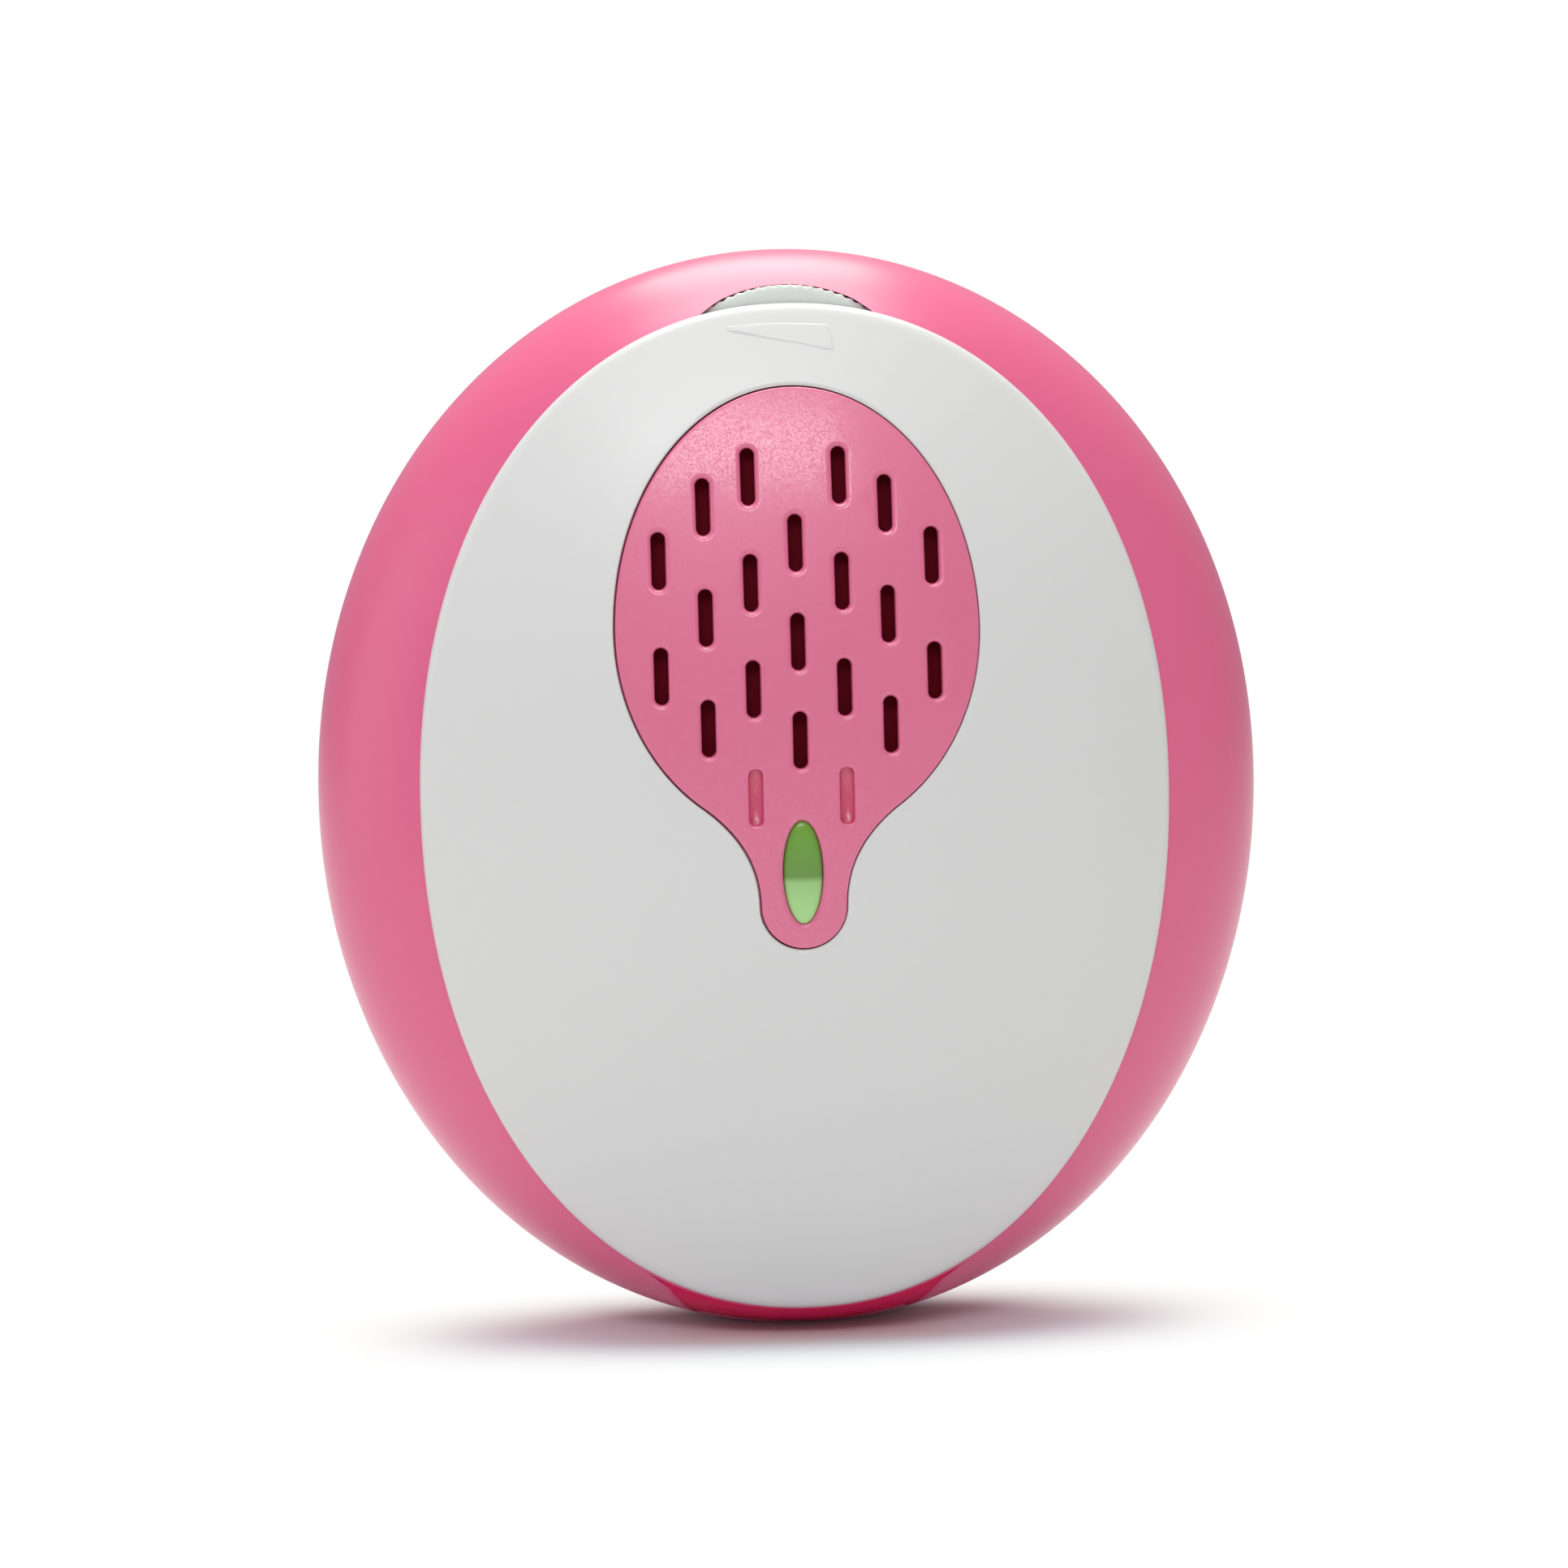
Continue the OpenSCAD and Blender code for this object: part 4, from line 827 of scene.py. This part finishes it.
def volume_mark():
    """Low raised wedge: its top side is a shallow parabola, 0.2 mm high in its middle."""
    x = np.linspace(3.5, -5.3, 30)
    top = np.stack([x, 40.62 + 0.2 * (1 - ((x + 0.9) / 4.4) ** 2)], 1)
    corners = [top[-1], [-5.12, 40.22], [3.9, 38.4], top[0]]
    sides = [np.array(a) + (np.array(b) - a) * np.linspace(0, 1, n)[:-1, None]
             for a, b, n in zip(corners, corners[1:], (5, 34, 12))]
    loop = np.concatenate([top[:-1], *sides])
    middle = np.array([1.2, 39.9])
    toward = middle - loop
    toward /= np.hypot(*toward.T)[:, None]
    rings = []
    for inward, up in ((0, -0.2), (0, 0.0), (0.04, 0.04), (0.12, 0.07), (0.2, 0.08)):
        p = loop + toward * inward
        rings.append((p, crown(*p.T) - up))
    for share in (0.4, 0.8, 0.97):
        p = loop + toward * 0.2 + (middle - loop - toward * 0.2) * share
        rings.append((p, crown(*p.T) - 0.08))
    return ring_loft(rings[::-1])


add_piece("cover_face", "casing", cover(), WHITE, ("front_cover",), sharp=40)
add_piece("grille_bed", "casing", grille_bed(), GRILLE)
add_piece("dust_film", "casing", dust_film(), FINISH["speaker_film"], sharp=50)
add_piece("volume_wedge", "casing", volume_mark(), WHITE, sharp=50)
add_piece("grille_inlay", "casing", grille(), GRILLE, ("grille_plate",), sharp=50)
add_piece("power_lens", "casing", lens(), LENS, ("indicator_lens",), sharp=50)

# ---------- thumbwheel ----------


def wheel():
    """Knurled disc: each tooth's dip follows eight depths, steeper on one side. The knurl reaches
    0.7 mm back from the face, and behind it the disc is plain."""
    k = np.arange(WHEEL_TEETH)[:, None]
    share = np.array([0, 0.12, 0.26, 0.38, 0.5, 0.62, 0.76, 0.88])
    depth = np.array([0, 0.01, 0.04, 0.09, 0.13, 0.15, 0.12, 0.05])
    turn = ((k + share) / WHEEL_TEETH * 2 * np.pi).ravel()
    r = WHEEL_R - np.tile(depth, WHEEL_TEETH)

    def ring(radius, y):
        return np.stack([radius * np.cos(turn), WHEEL_Z + radius * np.sin(turn)], 1), y

    back = WHEEL_Y + WHEEL_T
    full = np.full_like(r, WHEEL_R - 0.02)
    rings = [ring(0.3, WHEEL_Y + 0.9), ring(2.6, WHEEL_Y + 0.9), ring(2.6, WHEEL_Y + 0.1), ring(2.7, WHEEL_Y),
             ring(7.0, WHEEL_Y), ring(11.0, WHEEL_Y), ring(12.3, WHEEL_Y), ring(12.6, WHEEL_Y + 0.02),
             ring(r - 0.1, WHEEL_Y + 0.05), ring(r - 0.03, WHEEL_Y + 0.1), ring(r, WHEEL_Y + 0.2),
             ring(r, WHEEL_Y + 0.7), ring(full, WHEEL_Y + 0.85), ring(full, back - 0.3), ring(full - 0.2, back - 0.05),
             ring(12.4, back), ring(4.0, back)]
    return ring_loft(rings)


add_piece("thumb_disc", "thumbwheel", wheel(), WHEEL, ("volume_wheel",), sharp=50)

# ---------- rear shell, tray, door and probe ----------


def rear_shell():
    """Back of the casing, built facing front and then turned: rings round the side, a net over the
    rest with the door's opening, four screw wells and the probe's collar."""
    t = np.radians(np.arange(0, 360, 1.25))

    def side(s, inset):
        p = np.stack(body_egg(t, inset + REAR_ROUND * (1 - math.cos(s))), 1)
        return p, -(SEAM_Y + (BACK_Y - inset - SEAM_Y) * math.sin(s))

    angles = np.radians([38, 33, 28, 23, 18, 13, 8.5, 4.5, 1.5])
    outer = [side(s, 0) for s in angles]
    outer += [(np.stack(body_egg(t, 0.12), 1), -SEAM_Y - 0.02), (np.stack(body_egg(t, WALL), 1), -SEAM_Y)]
    outer += [side(s, WALL) for s in angles[::-1]]

    def on_back(loops, sinks):
        return [(p, -rear_y(*p.T) + k) for p, k in zip(loops, sinks)]

    frame_loops = [round_box(0, DOOR_Z, DOOR_W + g, DOOR_H + g, 0.8, 4) for g in (0.2, 0, 0)]
    holes = [on_back(frame_loops, (0, 0.12, WALL))]
    # each well: a round dish for the screw's head, a narrower way for its shank, and a wider tube behind
    for x, z in WELLS:
        ring = [oval(x, z, r, r, 40) for r in (2.85, 2.6, 2.6, 1.5, 1.5, 3.6, 3.6)]
        inner = -rear_y(*ring[-1].T, WALL)
        holes.append([(ring[0], -rear_y(*ring[0].T)), (ring[1], -rear_y(*ring[1].T) + 0.2), (ring[2], -3.0),
                      (ring[3], -3.0), (ring[4], -1.2), (ring[5], -1.2), (ring[6], inner)])
    # the collar: a hollow foot on the back, a straight side, an eased top and the probe's bore
    ring = [oval(0, PROBE_Z, r, r, 120) for r in (19.0, 18.6, 18.4, 18.4, 18.1, 16.95, 16.7, 16.7)]
    top = PROBE_Y - 1.8
    foot = [(p, -rear_y(*p.T) - up) for p, up in zip(ring, (0, 0.12, 0.5))]
    holes.append(foot + [(ring[3], -top + 0.3), (ring[4], -top), (ring[5], -top), (ring[6], -top + 0.25),
                         (ring[7], -11.5)])
    # the inner face's own points draw in by half a wall in 40 mm
    shape = pierced(outer, holes, [], lambda x, z: -rear_y(x, z), lambda x, z: -rear_y(x, z, WALL), 2.0,
                    lambda p: p * (1 - 0.5 * WALL / 40))
    return turned_round(shape)


def battery_tray():
    """Open box behind the door, its rim following the shell's inside."""
    rows = []
    for grow, y in ((2.0, 0.0), (2.0, None), (0.0, None), (0.0, 1.0)):
        p = round_box(0, DOOR_Z, TRAY_W + grow, TRAY_H + grow, 0.6 + grow / 2, 5)
        rows.append((p, rear_y(*p.T, WALL + 0.05) - 0.02 if y is None else y))
    return ring_loft(rows)


def door():
    """The door: a cut-out of the rear shell's own surface, its edge eased, with three finger grooves."""
    sizes = (0.9, 0.56, 0.5, 0.5)
    outer = [round_box(0, DOOR_Z, DOOR_W - g, DOOR_H - g, 0.7, 4, 40) for g in sizes]
    outer = [(p, -rear_y(*p.T) + k) for p, k in zip(outer, (0, 0.06, 0.22, WALL))]
    blinds = []
    for k in (-1, 0, 1):
        z = GROOVE_Z + GROOVE_PITCH * k
        loops = [round_box(0, z, 12 + g, 0.8 + g, 0.35, 4, 10) for g in (0.24, 0.05, -0.12)]
        blinds.append([(p, -rear_y(*p.T) + d) for p, d in zip(loops, (0, 0.12, 0.5))])
    return turned_round(pierced(outer, [], blinds, lambda x, z: -rear_y(x, z), lambda x, z: -rear_y(x, z, WALL), 1.5))


def door_tabs():
    """Two hooked tabs under the door's lower edge: an L-shaped outline in Y and Z, drawn out along X."""
    loop = np.array([(9, 1.1), (10, 1.1), (10, 2.25), (12.3, 2.25), (12.3, 3.2), (10, 3.2), (9, 3.2), (9, 2.25)])
    caps, i = np.array([(0, 1, 2, 7), (7, 2, 5, 6), (2, 3, 4, 5)]), np.arange(8)
    sides = np.stack([i, (i + 1) % 8, (i + 1) % 8 + 8, i + 8], 1)
    quads = np.concatenate([caps[:, ::-1], caps + 8, sides])
    return join(*[(np.concatenate([np.c_[np.full(8, x), loop] for x in (s * 14 - 3, s * 14 + 3)]), quads, NO_TRIS)
                  for s in (-1, 1)])


def probe_cap():
    """Turned profile: a flat face with a round rim, and the skirt that goes down into the collar."""
    y = PROBE_Y
    rim = [(PROBE_R - 1.6 + 1.6 * math.sin(a), y - 1.3 + 1.3 * math.cos(a)) for a in np.radians(np.arange(90, -1, -9))]
    profile = [(0.0, y - 1.2), (PROBE_R - 2.3, y - 1.2), (PROBE_R - 2.3, y - 9.5), (PROBE_R - 1.1, y - 9.5),
               (PROBE_R - 1.1, y - 3.5), (PROBE_R, y - 3.5), *rim, (12.0, y), (8.0, y), (4.0, y), (0.0, y)]
    return lathe(profile, 0, PROBE_Z, 128)


add_piece("back_shell", "casing", rear_shell(), PINK, ("rear_shell",), sharp=40)
add_piece("cell_tray", "casing", battery_tray(), PINK, sharp=40)
add_piece("door_panel", "door", door(), PINK, ("battery_door",), sharp=40)
add_piece("door_hooks", "door", door_tabs(), PINK, sharp=40, bevel=0.12)
add_piece("probe_face", "casing", probe_cap(), PROBE, ("probe_cap",), sharp=40)

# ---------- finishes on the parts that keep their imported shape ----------

NODE_FINISH = {
    "black_plastic": "volume_pot board_components earphone_jack record_jack",
    "seal_rubber": "probe_seal",
    "crystal": "transmit_crystal receive_crystal",
    "absorber": "crystal_backing",
    "contact_metal": "probe_shield cell_bridge cell_terminals",
    "cable_jacket": "probe_lead",
    "screw_steel": "speaker_frame board_screws case_screws wheel_screw pot_shaft",
    # the speaker's cone takes the film's dark maroon, which is partly painted shade
    "speaker_film": "speaker_cone",
    "magnet": "speaker_magnet",
    "foam": "speaker_gasket door_pad",
    "lead_red": "speaker_leads",
    "led_epoxy": "indicator_led",
    "circuit_board": "main_board",
    "cell_sleeve": "upper_cell lower_cell",
}
for finish, names in NODE_FINISH.items():
    for node_name in names.split():
        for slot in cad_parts[node_name].material_slots:
            slot.material = FINISH[finish]

# ---------- floor, light and camera ----------

GLOSS_SHARE = 0.22  # of the floor's white, as the object's gloss shows it
FLOOR_SEEN, FLOOR_BOUNCE = (0.86, 0.9, 0.93, 1), (0.72, 0.715, 0.73, 1)
FADE_FROM, FADE_TO = 0.018, 0.055


def pale_floor():
    """A wide flat floor that keeps the object's shadow and fades to white away from it. It lies
    0.02 mm under the foot, so that the two flats do not share a plane."""
    size = 3.0
    mesh = bpy.data.meshes.new("floor")
    z = -0.02 * MM
    mesh.from_pydata([(-size, -size, z), (size, -size, z), (size, size, z), (-size, size, z)], [], [(0, 1, 2, 3)])
    piece = bpy.data.objects.new("floor", mesh)
    bpy.context.scene.collection.objects.link(piece)
    m = bpy.data.materials.new("pale_floor")
    m.use_nodes = True
    m.node_tree.nodes.clear()
    n = Nodes(m.node_tree)
    place = n.add("ShaderNodeTexCoord").outputs["Object"]
    deep = n.add("ShaderNodeMapping", Vector=place, Location=(0, 0.01, 0), Scale=(1.0, 2.8, 1.0)).outputs[0]
    far = n.add("ShaderNodeVectorMath", {"operation": "LENGTH"}, i0=deep).outputs["Value"]
    path = n.add("ShaderNodeLightPath").outputs
    direct = n.sum("MAXIMUM", path["Is Camera Ray"], n.sum("MULTIPLY", path["Is Glossy Ray"], GLOSS_SHARE))
    seen = n.sum("MULTIPLY", n.span(far, FADE_FROM, FADE_TO, smooth=True), direct)
    grey = n.mix(path["Is Diffuse Ray"], FLOOR_SEEN, FLOOR_BOUNCE)
    diffuse = n.add("ShaderNodeBsdfDiffuse", Color=grey)
    glow = n.add("ShaderNodeEmission", Color=(1, 1, 1, 1), Strength=1.0)
    mixed = n.add("ShaderNodeMixShader", i0=seen, i1=diffuse.outputs[0], i2=glow.outputs[0])
    n.add("ShaderNodeOutputMaterial", Surface=mixed.outputs[0])
    mesh.materials.append(m)


def soft_world(level):
    """White seen by the camera; a plain even fill for everything else."""
    world = bpy.data.worlds.new("studio")
    bpy.context.scene.world = world
    world.use_nodes = True
    world.node_tree.nodes.clear()
    n = Nodes(world.node_tree)
    path = n.add("ShaderNodeLightPath").outputs
    strength = n.sum("MAXIMUM", path["Is Camera Ray"], level)
    back = n.add("ShaderNodeBackground", Color=(1, 1, 1, 1), Strength=strength)
    n.add("ShaderNodeOutputWorld", Surface=back.outputs[0])


def lamp(name, place, aim, width, height, power, tint=(1, 1, 1)):
    """A rectangular soft box at a place, turned to its aim."""
    light = bpy.data.lights.new(name, "AREA")
    light.shape, light.size, light.size_y, light.energy, light.color = "RECTANGLE", width, height, power, tint
    piece = bpy.data.objects.new(name, light)
    bpy.context.scene.collection.objects.link(piece)
    turn = (Vector(aim) - Vector(place)).to_track_quat("-Z", "Y")
    piece.matrix_world = Matrix.Translation(place) @ turn.to_matrix().to_4x4()


pale_floor()
soft_world(0.35)
lamp("back_top", (0.0, 0.3, 0.6), (0.0, 0.3, 0), 0.35, 0.8, 4.0, (0.98, 1.0, 0.82))
lamp("overhead", (-0.02, -0.05, 0.65), (-0.02, -0.05, 0), 0.5, 0.3, 1.3)
lamp("front_top", (-0.05, -0.42, 0.5), (0, 0, 0.05), 0.6, 0.28, 0.3)
lamp("front_strip", (-0.07, -0.51, 0.36), (0, 0, 0.07), 0.34, 0.09, 0.75)
lamp("left_side", (-0.6, -0.05, 0.14), (0, 0, 0.05), 0.4, 0.4, 0.4)
lamp("right_side", (0.6, -0.2, 0.14), (0, 0, 0.05), 0.4, 0.4, 0.1)

camera = bpy.data.objects.new("camera", bpy.data.cameras.new("camera"))
bpy.context.scene.collection.objects.link(camera)
RIGHT, UP = Vector((0.9982, -0.0559, -0.0209)), Vector((0.0257, 0.0859, 0.9960))
FORWARD, EYE = Vector((0.0539, 0.9947, -0.0872)), Vector((-0.02099, -0.37794, 0.08074))
turn = Matrix((RIGHT, UP, -FORWARD)).transposed().to_4x4()
camera.matrix_world = Matrix.Translation(EYE) @ turn
camera.data.lens, camera.data.clip_start = 99.0, 0.01
bpy.context.scene.camera = camera
bpy.context.scene.view_settings.view_transform = "Standard"
